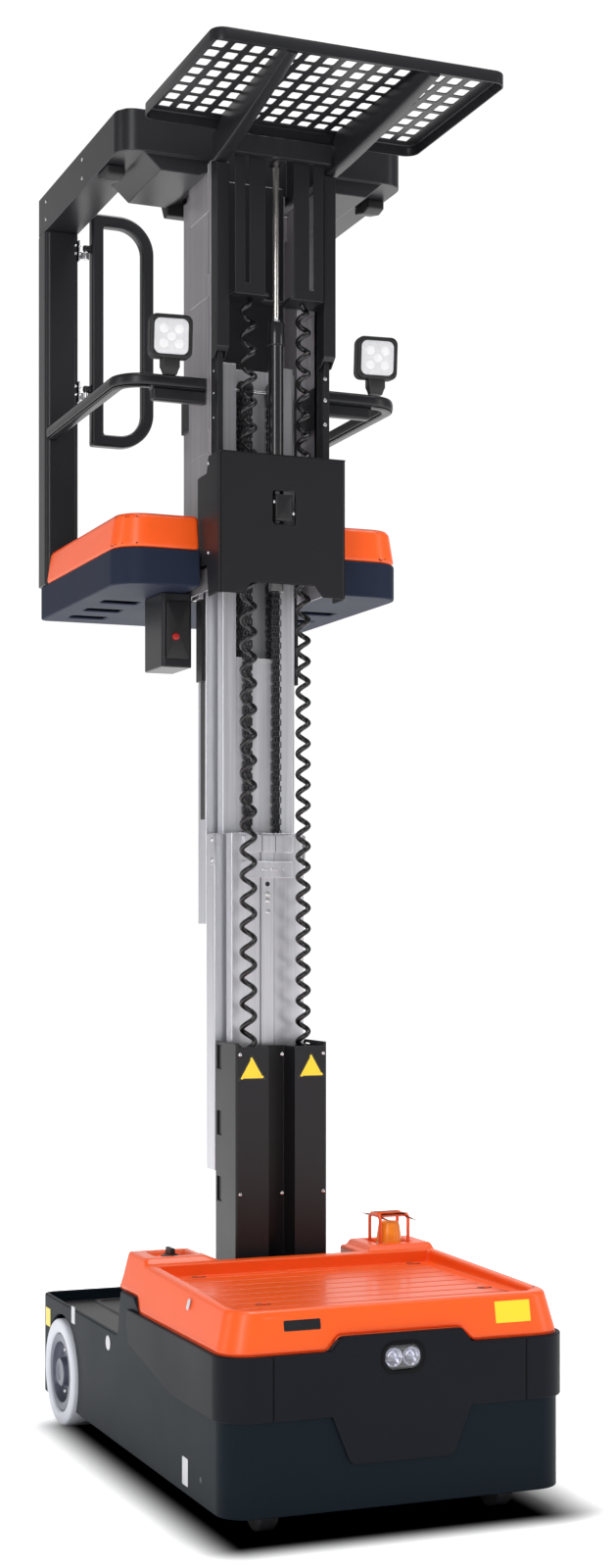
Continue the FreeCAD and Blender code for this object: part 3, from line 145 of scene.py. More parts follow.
def floor_material():
    """White, glowing more with the distance from the truck so that it runs into the background, and painted
    dark round the truck as its shadow: colour and glow fall to black as the distance falls to zero.

    The distance is max(low - x, softness (x - high), 0) and the same for y, taken as one length.
    """
    material, tree, shader = new_material("studio_floor")
    coords = tree.nodes.new("ShaderNodeTexCoord")
    split = tree.nodes.new("ShaderNodeSeparateXYZ")
    tree.links.new(coords.outputs["Object"], split.inputs[0])
    spans = []
    for axis, (low, high, softness) in (("X", shadow_sides), ("Y", shadow_ends)):
        below = math_node(tree, "SUBTRACT", low, split.outputs[axis])
        above = math_node(tree, "SUBTRACT", split.outputs[axis], high)
        above = math_node(tree, "MULTIPLY", above, softness)
        away = math_node(tree, "MAXIMUM", below, above)
        spans.append(math_node(tree, "MAXIMUM", away, 0.0))
    squares = [math_node(tree, "POWER", span, 2.0) for span in spans]
    distance = math_node(tree, "SQRT", math_node(tree, "ADD", *squares))
    # Painted shadow: near is 0 at the truck and 1 beyond shadow_reach, and it darkens the floor's colour and
    # glow.
    near = tree.nodes.new("ShaderNodeMapRange")
    near.interpolation_type = "SMOOTHSTEP"
    near.inputs["From Max"].default_value = shadow_reach
    tree.links.new(distance, near.inputs["Value"])
    far = tree.nodes.new("ShaderNodeMapRange")
    far.inputs["From Min"].default_value = shadow_reach
    far.inputs["From Max"].default_value = 0.9
    far.inputs["To Min"].default_value = floor_glow
    far.inputs["To Max"].default_value = 1.0
    tree.links.new(distance, far.inputs["Value"])
    noise = tree.nodes.new("ShaderNodeTexNoise")
    noise.inputs["Scale"].default_value = 3.0
    tree.links.new(coords.outputs["Object"], noise.inputs["Vector"])
    lit = math_node(tree, "MULTIPLY", noise.outputs["Fac"], 0.04)
    lit = math_node(tree, "ADD", lit, 0.90)
    lit = math_node(tree, "MULTIPLY", lit, near.outputs["Result"])
    grey = tree.nodes.new("ShaderNodeCombineColor")
    for channel in ("Red", "Green", "Blue"):
        tree.links.new(lit, grey.inputs[channel])
    glow = math_node(tree, "MULTIPLY", far.outputs["Result"], near.outputs["Result"])
    tree.links.new(grey.outputs["Color"], shader.inputs["Base Color"])
    tree.links.new(glow, shader.inputs["Emission Strength"])
    shader.inputs["Roughness"].default_value = 0.6
    shader.inputs["Specular IOR Level"].default_value = 0.0
    shader.inputs["Emission Color"].default_value = (*studio_white, 1)
    return material


floor_mesh = bpy.data.meshes.new("floor")
floor_corners = [(-floor_reach, -floor_reach, 0), (floor_reach, -floor_reach, 0),
                 (floor_reach, floor_reach, 0), (-floor_reach, floor_reach, 0)]
floor_mesh.from_pydata(floor_corners, [], [(0, 1, 2, 3)])
floor_mesh.materials.append(floor_material())
floor = bpy.data.objects.new("floor", floor_mesh)
bpy.context.scene.collection.objects.link(floor)


def studio_world():
    """A white backdrop in an otherwise dim room: brightness follows the angle to the backdrop."""
    world = bpy.data.worlds.new("studio")
    world.use_nodes = True
    tree = world.node_tree
    coords = tree.nodes.new("ShaderNodeTexCoord")
    toward = tree.nodes.new("ShaderNodeVectorMath")
    toward.operation = "DOT_PRODUCT"
    toward.inputs[1].default_value = backdrop_way
    ramp = tree.nodes.new("ShaderNodeMapRange")
    ramp.inputs["From Min"].default_value = 0.70
    ramp.inputs["From Max"].default_value = 0.87
    ramp.inputs["To Min"].default_value = room_dim
    ramp.inputs["To Max"].default_value = room_bright
    background = tree.nodes["Background"]
    background.inputs["Color"].default_value = (*studio_white, 1)
    tree.links.new(coords.outputs["Generated"], toward.inputs[0])
    tree.links.new(toward.outputs["Value"], ramp.inputs["Value"])
    tree.links.new(ramp.outputs["Result"], background.inputs["Strength"])
    bpy.context.scene.world = world


studio_world()


def area_light(name, place, aim, size, power):
    data = bpy.data.lights.new(name, "AREA")
    data.shape = "RECTANGLE"
    data.size, data.size_y = size
    data.energy = power
    light = bpy.data.objects.new(name, data)
    light.location = place
    light.rotation_euler = (Vector(aim) - Vector(place)).to_track_quat("-Z", "Y").to_euler()
    bpy.context.scene.collection.objects.link(light)


area_light("key", (-3.2, -4.2, 3.2), (0, 0, 1.5), (1.6, 4.0), 95)
area_light("side", (-4.5, 0.5, 2.4), (0, 0, 1.5), (0.9, 4.0), 26)
area_light("fill", (4.0, -3.0, 2.5), (0, 0, 1.5), (1.2, 4.0), 40)
area_light("top", (0.5, -0.5, 6.0), (0, 0, 0), (2.5, 2.5), 250)

# Base body
# Folded steel walls round an open bottom, welded to a frame that carries the wheels and the battery.
# They are powder coated in a dark green grey, fine as orange peel, and rubbed lighter at the edges.
wall_color = (0.006, 0.011, 0.016)
wall_worn = (0.12, 0.14, 0.15)
wall_edge = 0.003
steel_black = (0.011, 0.011, 0.013)
steel_worn = (0.10, 0.10, 0.105)


def new_group(name, inputs, outputs):
    """A shader node group with named sockets: inputs are (label, kind, value), outputs (label, kind)."""
    group = bpy.data.node_groups.new(name, "ShaderNodeTree")
    for label, kind, value in inputs:
        socket = group.interface.new_socket(label, in_out="INPUT", socket_type=kind)
        if value is not None:
            socket.default_value = value
    for label, kind in outputs:
        group.interface.new_socket(label, in_out="OUTPUT", socket_type=kind)
    return group, group.nodes.new("NodeGroupInput"), group.nodes.new("NodeGroupOutput")


def skin_group():
    """Colour varies by slow blotches, edges wear lighter in patches, and a fine grain gives the height."""
    group, gin, gout = new_group(
        "coated_skin",
        [("Color", "NodeSocketColor", (0.1, 0.1, 0.1, 1)), ("Worn", "NodeSocketColor", (0.3, 0.3, 0.3, 1)),
         ("Grain Scale", "NodeSocketFloat", 900.0), ("Blotch", "NodeSocketFloat", 0.12),
         ("Wear", "NodeSocketFloat", 0.5), ("Roughness", "NodeSocketFloat", 0.4),
         ("Edge Radius", "NodeSocketFloat", 0.0015)],
        [("Color", "NodeSocketColor"), ("Roughness", "NodeSocketFloat"), ("Height", "NodeSocketFloat"),
         ("Normal", "NodeSocketVector")],
    )
    coords = group.nodes.new("ShaderNodeTexCoord")
    grain = group.nodes.new("ShaderNodeTexNoise")
    grain.inputs["Detail"].default_value = 2.0
    blotch = group.nodes.new("ShaderNodeTexNoise")
    blotch.inputs["Scale"].default_value = 5.0
    blotch.inputs["Detail"].default_value = 5.0
    group.links.new(coords.outputs["Object"], grain.inputs["Vector"])
    group.links.new(coords.outputs["Object"], blotch.inputs["Vector"])
    group.links.new(gin.outputs["Grain Scale"], grain.inputs["Scale"])
    bevel = group.nodes.new("ShaderNodeBevel")
    bevel.samples = 4
    group.links.new(gin.outputs["Edge Radius"], bevel.inputs["Radius"])
    geometry = group.nodes.new("ShaderNodeNewGeometry")
    dot = group.nodes.new("ShaderNodeVectorMath")
    dot.operation = "DOT_PRODUCT"
    group.links.new(bevel.outputs["Normal"], dot.inputs[0])
    group.links.new(geometry.outputs["Normal"], dot.inputs[1])
    edge = math_node(group, "SUBTRACT", 1.0, dot.outputs["Value"], clamp=True)
    edge = math_node(group, "MULTIPLY", edge, 4.0, clamp=True)
    patch = math_node(group, "MULTIPLY", edge, blotch.outputs["Fac"])
    worn = math_node(group, "MULTIPLY", patch, gin.outputs["Wear"], clamp=True)
    tone = math_node(group, "SUBTRACT", blotch.outputs["Fac"], 0.5)
    tone = math_node(group, "MULTIPLY", tone, gin.outputs["Blotch"])
    tone = math_node(group, "ADD", tone, 1.0)
    hsv = group.nodes.new("ShaderNodeHueSaturation")
    group.links.new(tone, hsv.inputs["Value"])
    group.links.new(gin.outputs["Color"], hsv.inputs["Color"])
    mix = group.nodes.new("ShaderNodeMix")
    mix.data_type = "RGBA"
    group.links.new(worn, mix.inputs["Factor"])
    group.links.new(hsv.outputs["Color"], mix.inputs[6])
    group.links.new(gin.outputs["Worn"], mix.inputs[7])
    group.links.new(mix.outputs[2], gout.inputs["Color"])
    shift = math_node(group, "MULTIPLY", tone, gin.outputs["Roughness"])
    group.links.new(shift, gout.inputs["Roughness"])
    group.links.new(grain.outputs["Fac"], gout.inputs["Height"])
    group.links.new(bevel.outputs["Normal"], gout.inputs["Normal"])
    return group


coated_skin = skin_group()


def coated(name, color, worn, roughness, grain=900.0, bump=0.1, wear=0.4, blotch=0.15, edge=0.0015,
           metal=0.0, coat=0.0, shine=0.5):
    """A coated or moulded surface: the skin group's colour, roughness and grain, on one Principled shader."""
    material, tree, shader = new_material(name)
    skin = tree.nodes.new("ShaderNodeGroup")
    skin.node_tree = coated_skin
    skin.inputs["Color"].default_value = (*color, 1)
    skin.inputs["Worn"].default_value = (*worn, 1)
    skin.inputs["Grain Scale"].default_value = grain
    skin.inputs["Blotch"].default_value = blotch
    skin.inputs["Wear"].default_value = wear
    skin.inputs["Roughness"].default_value = roughness
    skin.inputs["Edge Radius"].default_value = edge
    relief = tree.nodes.new("ShaderNodeBump")
    relief.inputs["Strength"].default_value = bump
    relief.inputs["Distance"].default_value = 0.0004
    tree.links.new(skin.outputs["Color"], shader.inputs["Base Color"])
    tree.links.new(skin.outputs["Roughness"], shader.inputs["Roughness"])
    tree.links.new(skin.outputs["Height"], relief.inputs["Height"])
    tree.links.new(skin.outputs["Normal"], relief.inputs["Normal"])
    tree.links.new(relief.outputs["Normal"], shader.inputs["Normal"])
    shader.inputs["Metallic"].default_value = metal
    shader.inputs["Coat Weight"].default_value = coat
    shader.inputs["Specular IOR Level"].default_value = shine
    return material


def dress(material, *names):
    for name in names:
        data = nodes[name].data
        data.materials.clear()
        data.materials.append(material)


def softened(node, piece_name, radius, material, segments=2, sharp=28, share=None, second=None,
             is_second=None, fitted=None, most_sides=None):
    """A copy of a CAD piece: loose triangles merged, flat faces joined and sharp edges rounded.

    share(middles) gives each edge a part of the radius by its middle point, is_second(middles) says which
    faces take the second material, fitted(points) moves the points, and faces with more sides than most_sides
    are split, which keeps the cut ends of hollow sections open.
    """
    shape = bmesh.new()
    shape.from_mesh(nodes[node].data)
    bmesh.ops.remove_doubles(shape, verts=shape.verts, dist=2e-5)
    bmesh.ops.dissolve_limit(shape, angle_limit=math.radians(0.6), verts=shape.verts, edges=shape.edges)
    if fitted is not None:
        moved = fitted(np.array([vertex.co for vertex in shape.verts]))
        for vertex, place in zip(shape.verts, moved):
            vertex.co = place
        shape.normal_update()
    if most_sides is not None:
        bmesh.ops.triangulate(shape, faces=[face for face in shape.faces if len(face.verts) > most_sides])
    turn = np.array([edge.calc_face_angle(0.0) for edge in shape.edges])
    edge_middles = np.array([(edge.verts[0].co + edge.verts[1].co) / 2 for edge in shape.edges])
    mesh = bpy.data.meshes.new(piece_name)
    shape.to_mesh(mesh)
    shape.free()
    weights = np.where(turn > math.radians(sharp), 1.0, 0.0)
    if share is not None:
        weights = weights * share(edge_middles)
    edge_weights = mesh.attributes.new("bevel_weight_edge", "FLOAT", "EDGE")
    edge_weights.data.foreach_set("value", weights.astype(np.float32))
    mesh.shade_smooth()
    mesh.materials.clear()
    mesh.materials.append(material)
    if second is not None:
        mesh.materials.append(second)
        centres = np.array([face.center for face in mesh.polygons])
        mesh.polygons.foreach_set("material_index", is_second(centres).astype(np.int32))
    piece = bpy.data.objects.new(piece_name, mesh)
    bpy.context.scene.collection.objects.link(piece)
    bevel = piece.modifiers.new("rounded_edges", "BEVEL")
    bevel.width = radius
    bevel.segments = segments
    bevel.limit_method = "WEIGHT"
    bevel.use_clamp_overlap = False
    split = piece.modifiers.new("split_faces", "TRIANGULATE")
    split.min_vertices = 5
    flat = piece.modifiers.new("flat_faces", "WEIGHTED_NORMAL")
    flat.weight = 90
    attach(piece, nodes[node]["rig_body"])
    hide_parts(node)
    return piece


wall_paint = coated("wall_powder_coat", wall_color, wall_worn, 0.45, grain=420, bump=0.30, edge=0.003,
                    blotch=0.25, shine=0.05)
steel_paint = coated("steel_powder_coat", steel_black, steel_worn, 0.38, grain=700, bump=0.18, blotch=0.2,
                     shine=0.3)
softened("base_shell", "base_walls", wall_edge, wall_paint)
dress(steel_paint, "base_frame", "battery_block", "drive_units", "mast_base")

# Front band and headlamp
# One moulded bumper goes round the front corners, its raised middle tab framing an oval headlamp.
# The lamp has two bright bowls with round lenses behind a clear cover, in a dull black surround.
band_color = (0.0070, 0.0080, 0.0115)
band_worn = (0.05, 0.052, 0.06)
lamp_low, lamp_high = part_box("headlamp")
lamp_middle = (lamp_low + lamp_high) / 2
surround_half, surround_height, surround_corner = 0.050, 0.034, 0.031
lens_spacing, bowl_radius = 0.0190, 0.0172


def joined_mesh(name, parts, material):
    """One mesh from several surfaces, each an array of points and an array of four-cornered faces."""
    points, faces, start = [], [], 0
    for part_points, part_faces in parts:
        points.append(np.asarray(part_points, float))
        faces.append(np.asarray(part_faces, int) + start)
        start += len(part_points)
    mesh = bpy.data.meshes.new(name)
    mesh.from_pydata(np.concatenate(points).tolist(), [], np.concatenate(faces).tolist())
    shape = bmesh.new()
    shape.from_mesh(mesh)
    bmesh.ops.remove_doubles(shape, verts=shape.verts, dist=1e-6)
    shape.to_mesh(mesh)
    shape.free()
    mesh.materials.append(material)
    return mesh


def merged(name, parts, material, body, smooth=True):
    """One rigid piece from several surfaces, riding on a body."""
    mesh = joined_mesh(name, parts, material)
    if smooth:
        mesh.shade_smooth()
        mesh.set_sharp_from_angle(angle=math.radians(38))
    piece = bpy.data.objects.new(name, mesh)
    bpy.context.scene.collection.objects.link(piece)
    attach(piece, body)
    return piece


def lofted(rings):
    """Closed rings of equal count joined: face i, j spans points j and j + 1 of rings i and i + 1."""
    rings = np.asarray(rings, float)
    count, size = rings.shape[:2]
    i, j = np.meshgrid(np.arange(count - 1), np.arange(size), indexing="ij")
    following = (j + 1) % size
    faces = np.stack([i * size + j, i * size + following,
                      (i + 1) * size + following, (i + 1) * size + j], -1)
    return rings.reshape(-1, 3), faces.reshape(-1, 4)


def rounded_ring(half_a, half_b, corner, steps=4):
    """A rectangle with quarter circle corners: each corner's centre plus radius times (cos t, sin t)."""
    corner = min(corner, half_a, half_b)
    t = np.linspace(0, math.pi / 2, steps + 1)[None, :] + np.arange(4)[:, None] * math.pi / 2
    sign_a = np.array([1, -1, -1, 1])[:, None]
    sign_b = np.array([1, 1, -1, -1])[:, None]
    a = sign_a * (half_a - corner) + corner * np.cos(t)
    b = sign_b * (half_b - corner) + corner * np.sin(t)
    return np.stack([a.ravel(), b.ravel()], -1)


def capped(rings):
    """Rings joined in order, each end closed to the middle point of its ring."""
    first, last = (np.repeat(ring.mean(0)[None], len(ring), 0) for ring in (rings[0], rings[-1]))
    return lofted([first, *rings, last])


def axes_of(facing, up=(0, 0, 1)):
    """Two unit directions across the way a piece faces, the second one as near to up as it goes."""
    n = np.asarray(facing, float)
    n = n / np.linalg.norm(n)
    up = np.array((0.0, 1.0, 0.0)) if abs(n[2]) > 0.9 else np.asarray(up, float)
    b = up - n * (up @ n)
    b = b / np.linalg.norm(b)
    return np.cross(b, n), b, n


def pad(place, facing, half_a, half_b, corner, profile, steps=4, up=(0, 0, 1)):
    """A rounded rectangle carried through a profile of (inset, height) pairs, closed at both ends."""
    a, b, n = axes_of(facing, up)
    rings = []
    for inset, height in profile:
        flat = rounded_ring(half_a - inset, half_b - inset, max(corner - inset, 1e-5), steps)
        rings.append(np.asarray(place) + flat[:, :1] * a + flat[:, 1:] * b + height * n)
    return capped(rings)


def turned(place, facing, profile, count=24):
    """A profile of (radius, height) pairs turned round an axis: radius (cos t, sin t), height along it."""
    a, b, n = axes_of(facing)
    t = np.linspace(0, 2 * math.pi, count, endpoint=False)
    round_axis = np.cos(t)[:, None] * a + np.sin(t)[:, None] * b
    return capped([np.asarray(place) + radius * round_axis + height * n for radius, height in profile])


def repeated(part, offsets):
    """One surface set down again at each offset."""
    points, faces = part
    offsets = np.asarray(offsets, float)
    steps = np.arange(len(offsets))[:, None, None] * len(points)
    return (points[None] + offsets[:, None, :]).reshape(-1, 3), (faces[None] + steps).reshape(-1, 4)


def carried(path, radius, outward, count=8):
    """A round section carried along a path, closed by a middle point at each end.

    Each ring is the path point plus radius (cos t, sin t) across the path. Outward gives its start.
    """
    path = np.asarray(path, float)
    along = np.gradient(path, axis=0)
    along = along / np.linalg.norm(along, axis=1)[:, None]
    side = np.cross(along, outward)
    side = side / np.linalg.norm(side, axis=1)[:, None]
    out = np.cross(side, along)
    t = np.linspace(0, 2 * math.pi, count, endpoint=False)
    section = np.cos(t)[None, :, None] * side[:, None, :] + np.sin(t)[None, :, None] * out[:, None, :]
    rings = path[:, None, :] + radius * section
    ends = [np.repeat(path[k][None], count, 0)[None] for k in (0, -1)]
    return lofted(np.concatenate([ends[0], rings, ends[1]]))


def clear(name, tint, roughness, ior=1.49):
    """Clear or tinted plastic with a faint haze that varies over it."""
    material, tree, shader = new_material(name)
    coords = tree.nodes.new("ShaderNodeTexCoord")
    haze = tree.nodes.new("ShaderNodeTexNoise")
    haze.inputs["Scale"].default_value = 60.0
    spread = tree.nodes.new("ShaderNodeMapRange")
    spread.inputs["To Min"].default_value = roughness * 0.6
    spread.inputs["To Max"].default_value = roughness * 1.4
    tree.links.new(coords.outputs["Object"], haze.inputs["Vector"])
    tree.links.new(haze.outputs["Fac"], spread.inputs["Value"])
    tree.links.new(spread.outputs["Result"], shader.inputs["Roughness"])
    shader.inputs["Base Color"].default_value = (*tint, 1)
    shader.inputs["Transmission Weight"].default_value = 1.0
    shader.inputs["IOR"].default_value = ior
    return material


band_plastic = coated("band_moulding", band_color, band_worn, 0.46, grain=950, bump=0.35, edge=0.003,
                      blotch=0.3, shine=0.08)
surround_plastic = coated("lamp_surround", (0.004, 0.004, 0.005), (0.02, 0.02, 0.02), 0.55, grain=1200,
                          bump=0.3, shine=0.08)
bowl_chrome = coated("lamp_bowl", (0.42, 0.42, 0.50), (0.6, 0.6, 0.65), 0.16, grain=400, bump=0.05,
                     metal=1.0)
lamp_clear = clear("lamp_cover", (0.96, 0.97, 1.0), 0.03)
softened("front_band", "bumper_band", 0.0022, band_plastic, segments=3)
dress(surround_plastic, "headlamp")
lamp_face = np.array((lamp_middle.x, front_y, lamp_middle.z))
toward_front = (0, -1, 0)
housing = merged("lamp_housing", [
    pad(lamp_face, toward_front, surround_half, surround_height, surround_corner,
        [(0.0, -0.0175), (0.0, -0.0002), (0.0015, 0.0003), (0.0085, 0.0), (0.0100, -0.0145)], steps=10),
], surround_plastic, "chassis")
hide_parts("headlamp")
bowls, lenses = [], []
for side in (-1, 1):
    deep = lamp_face + np.array((side * lens_spacing, 0.0142, 0))
    bowls.append(turned(deep, toward_front, [
        (0.004, 0.0), (0.011, 0.0030), (bowl_radius, 0.0105), (bowl_radius + 0.0012, 0.0105),
        (bowl_radius - 0.0035, 0.0), (0.004, -0.0002)], 32))
    lenses.append(turned(deep, toward_front, [
        (0.0095, 0.0040), (0.0093, 0.0062), (0.0070, 0.0085), (0.0035, 0.0096)], 24))
merged("lamp_bowls", bowls, bowl_chrome, "chassis")
merged("lamp_lenses", lenses, lamp_clear, "chassis")
merged("lamp_cover", [
    pad(lamp_face, toward_front, surround_half - 0.0105, surround_height - 0.0105, surround_corner - 0.0105,
        [(0.0, -0.0028), (0.0, -0.0014), (0.002, -0.0006), (0.008, -0.0003)], steps=10),
], lamp_clear, "chassis")


def bumper_crease():
    """The rim of the bumper's lower face, dipped under the lamp: z falls by dip / (1 + (x / width)^6)."""
    x = np.linspace(-0.266, 0.266, 90)
    z = 0.356 - 0.054 / (1 + (x / 0.066) ** 6)
    path = np.stack([x, np.full_like(x, front_y + 0.0009), z], -1)
    return carried(path, 0.0012, np.array((0.0, 1.0, 0.0)))


merged("bumper_crease", [bumper_crease()], band_plastic, "chassis")

# Deck cover
# The orange top is one vacuum formed plastic shell with soft edges, ribbed so that a foot doesn't slip.
# Four small latches in its floor hold it to the frame, each in a recessed slot drawn as a thin dark pad of
# painted shade, and bare plates are stuck to its sides.
orange = (0.93, 0.102, 0.006)
orange_worn = (0.95, 0.32, 0.12)
deck_edge = 0.008
deck_floor_z, deck_floor_half = 0.430, 0.315
latch_spots = ((-0.232, 0.550), (-0.226, 0.178), (0.276, 0.550), (0.276, 0.196))
plate_black = (0.010, 0.010, 0.012)
plate_yellow = (0.88, 0.68, 0.03)
plate_white = (0.62, 0.63, 0.66)
deck_front_tilt = (0.0, -0.982, 0.189)


def orange_plastic_material():
    """Grained plastic that lets a little light into its skin."""
    material = coated("orange_moulding", orange, orange_worn, 0.38, grain=620, bump=0.16, wear=0.15,
                      edge=0.005, blotch=0.10, coat=0.12)
    shader = material.node_tree.nodes["Principled BSDF"]
    shader.inputs["Subsurface Weight"].default_value = 0.04
    shader.inputs["Subsurface Radius"].default_value = (0.006, 0.002, 0.001)
    return material


def deck_edge_share(middles):
    """The outer rim keeps the whole radius, the floor's border a third, and its grooves only a trace."""
    x, y, z = middles.T
    inside = (np.abs(x) < deck_floor_half) & (y - front_y < 0.60) & (y - front_y > 0.045)
    share = np.where(inside & (z < 0.4315), 0.08, 1.0)
    return np.where(inside & (z >= 0.4315), 0.35, share)


def plate(name, x, from_front, z, facing, half_a, half_b, material, body="chassis", corner=0.0015):
    """A thin printed plate or sticker with nothing on it."""
    return merged(name, [pad((x, front_y + from_front, z), facing, half_a, half_b, corner,
                             [(0.0, -0.0006), (0.0, 0.0003), (0.0003, 0.0006)])], material, body)


orange_plastic = orange_plastic_material()
# Dark plastic for the knob, pulleys, cap, panels and lamp bodies, and also painted shade where slots and
# holes are drawn as dark pads and discs.
dark_plastic_and_recess_shade = coated("dark_fittings_and_recess_shade", (0.010, 0.010, 0.011), (0.05, 0.05, 0.05), 0.42, grain=1300,
                      bump=0.25, shine=0.35)
black_plate = coated("black_plate", plate_black, (0.1, 0.1, 0.1), 0.28, grain=300, bump=0.04, blotch=0.2)
yellow_plate = coated("yellow_plate", plate_yellow, (0.9, 0.8, 0.3), 0.35, grain=300, bump=0.04,
                      blotch=0.15)
white_plate = coated("white_plate", plate_white, (0.7, 0.7, 0.7), 0.40, grain=300, bump=0.04, blotch=0.15)
softened("deck_cover", "deck_moulding", deck_edge, orange_plastic, segments=4, share=deck_edge_share)
latch_places = [(x, front_y + v, deck_floor_z) for x, v in latch_spots]
# Painted shade: each latch's slot is a thin dark pad whose colour stands for the shade in the recess.
latch_slot_shade = pad((0, 0, 0), (0, 0, 1), 0.015, 0.008, 0.003,
                 [(0.0, -0.003), (0.0, 0.0004), (0.0012, 0.0008), (0.0022, -0.0005)])
latch_clip = pad((0.004, 0.001, 0), (0, 0, 1), 0.006, 0.004, 0.001,
                 [(0.0, -0.002), (0.0, 0.0018), (0.001, 0.0026)])
merged("deck_latch_slot_shades", [repeated(latch_slot_shade, latch_places)], dark_plastic_and_recess_shade, "chassis")
merged("deck_latch_clips", [repeated(latch_clip, latch_places)], orange_plastic, "chassis")
plate("load_plate", -0.205, 0.0204, 0.414, deck_front_tilt, 0.0385, 0.0105, black_plate, corner=0.003)
plate("notice_plate", 0.250, 0.0197, 0.411, deck_front_tilt, 0.039, 0.0215, yellow_plate)
plate("deck_sticker", -0.3545, 0.262, 0.425, (-0.968, 0, 0.25), 0.0075, 0.0115, white_plate, corner=0.0075)
plate("wall_sticker", -0.367, 0.245, 0.095, (-1, 0, 0), 0.017, 0.028, white_plate, corner=0.003)
plate("wall_mark", -0.367, 0.775, 0.2590, (-1, 0, 0), 0.0165, 0.0165, white_plate, corner=0.0165)
plate("wall_tag", -0.367, 1.055, 0.2750, (-1, 0, 0), 0.0140, 0.0200, white_plate, corner=0.003)
# Painted shade: the hole in the wall is a thin dark disc whose colour stands for the shade inside it.
merged("wall_hole_shade", [turned((-0.367, front_y + 0.150, 0.100), (-1, 0, 0),
                            [(0.0060, -0.001), (0.0060, 0.0002), (0.0050, 0.0003)], 24)], dark_plastic_and_recess_shade,
       "chassis")
plate("rear_notice", -0.367, 1.275, 0.235, (-1, 0, 0), 0.020, 0.022, yellow_plate)

# Knob and beacon
# A black key knob sits in a pocket on the left block. On the right block an amber flashing lamp stands on
# a round foot under a hoop of painted steel rod, bolted down through the moulding.
beacon_low, beacon_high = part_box("beacon")
beacon_place = (beacon_low + beacon_high) / 2
amber, amber_dark = (0.95, 0.36, 0.02), (0.80, 0.22, 0.008)
amber_ribs = 28


def ribbed_lens():
    """The amber lens: the radius is a tapering profile times one plus a small cosine of the ribs."""
    heights = np.array((0.011, 0.016, 0.034, 0.050, 0.0550, 0.0580, 0.0590))
    radii = np.array((0.0290, 0.0288, 0.0262, 0.0236, 0.0215, 0.0160, 0.0060))
    t = np.linspace(0, 2 * math.pi, amber_ribs * 4, endpoint=False)
    wave = 1 + 0.012 * np.cos(amber_ribs * t)
    return capped([np.stack([beacon_place.x + r * wave * np.cos(t), beacon_place.y + r * wave * np.sin(t),
                             np.full_like(t, beacon_low.z + h)], -1) for r, h in zip(radii, heights)])


def glowing(name, dark, bright, scale, glow, roughness, through=0.0):
    """Plastic that glows faintly, its colour clouded by noise between a dark and a bright tone."""
    material, tree, shader = new_material(name)
    coords = tree.nodes.new("ShaderNodeTexCoord")
    cloud = tree.nodes.new("ShaderNodeTexNoise")
    cloud.inputs["Scale"].default_value = scale
    ramp = tree.nodes.new("ShaderNodeValToRGB")
    ramp.color_ramp.elements[0].color = (*dark, 1)
    ramp.color_ramp.elements[1].color = (*bright, 1)
    tree.links.new(coords.outputs["Object"], cloud.inputs["Vector"])
    tree.links.new(cloud.outputs["Fac"], ramp.inputs["Fac"])
    tree.links.new(ramp.outputs["Color"], shader.inputs["Base Color"])
    tree.links.new(ramp.outputs["Color"], shader.inputs["Emission Color"])
    shader.inputs["Emission Strength"].default_value = glow
    shader.inputs["Roughness"].default_value = roughness
    shader.inputs["Transmission Weight"].default_value = through
    return material


foot = turned((beacon_place.x, beacon_place.y, beacon_low.z), (0, 0, 1),
              [(0.0300, 0.0), (0.0300, 0.0095), (0.0293, 0.0110), (0.0290, 0.0112), (0.0285, 0.0108)], 48)
light_foot = coated("beacon_foot", (0.62, 0.60, 0.57), (0.7, 0.7, 0.7), 0.4)
merged("beacon_foot", [foot], light_foot, "chassis")
amber_plastic = glowing("amber_lens", amber_dark, amber, 40.0, 0.12, 0.18, through=0.35)
beacon_lens = merged("beacon_lens", [ribbed_lens()], amber_plastic, "chassis")
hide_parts("beacon")
softened("beacon_guard", "guard_hoops", 0.0022, orange_plastic, segments=2)
softened("deck_knob", "key_knob", 0.002, dark_plastic_and_recess_shade, segments=2)

# Wheels
# The drive wheels are polyurethane bonded to a cast hub with a dished face, held by five bolts.
# The casters are solid nylon in pressed and zinc plated forks.
wheel_low, wheel_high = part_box("drive_tyre_right")
wheel_middle = (wheel_low + wheel_high) / 2
tyre_radius = (wheel_high.z - wheel_low.z) / 2
tyre_half_width = (wheel_high.x - wheel_low.x) / 2
rim_radius = 0.092
hub_face, dish_floor = 0.036, 0.018
bolt_circle, wheel_bolts = 0.052, 5


def tyre(side):
    """A ring whose section is a rounded rectangle carried round the axle."""
    section = rounded_ring(tyre_half_width, (tyre_radius - rim_radius) / 2, 0.007, 5)
    profile = [((tyre_radius + rim_radius) / 2 + b, a) for a, b in section]
    t = np.linspace(0, 2 * math.pi, 96, endpoint=False)
    middle = np.array((side * wheel_middle.x, wheel_middle.y, wheel_middle.z))
    rings = [middle + np.stack([np.full_like(t, a), r * np.cos(t), r * np.sin(t)], -1) for r, a in profile]
    return lofted([*rings, rings[0]])


def hub(side):
    """The cast hub: a rim, a dish, a raised nave and a cap, carried round the axle."""
    middle = (side * wheel_middle.x, wheel_middle.y, wheel_middle.z)
    profile = [(rim_radius - 0.0006, -0.036), (rim_radius - 0.0006, 0.034), (rim_radius - 0.003, hub_face),
               (0.074, hub_face), (0.0715, 0.0345), (0.068, dish_floor + 0.002), (0.066, dish_floor),
               (0.036, dish_floor), (0.0345, dish_floor + 0.002), (0.033, 0.036), (0.031, 0.0378),
               (0.020, 0.0378), (0.018, 0.0366), (0.006, 0.0366)]
    return turned(middle, (side, 0, 0), profile, 72)


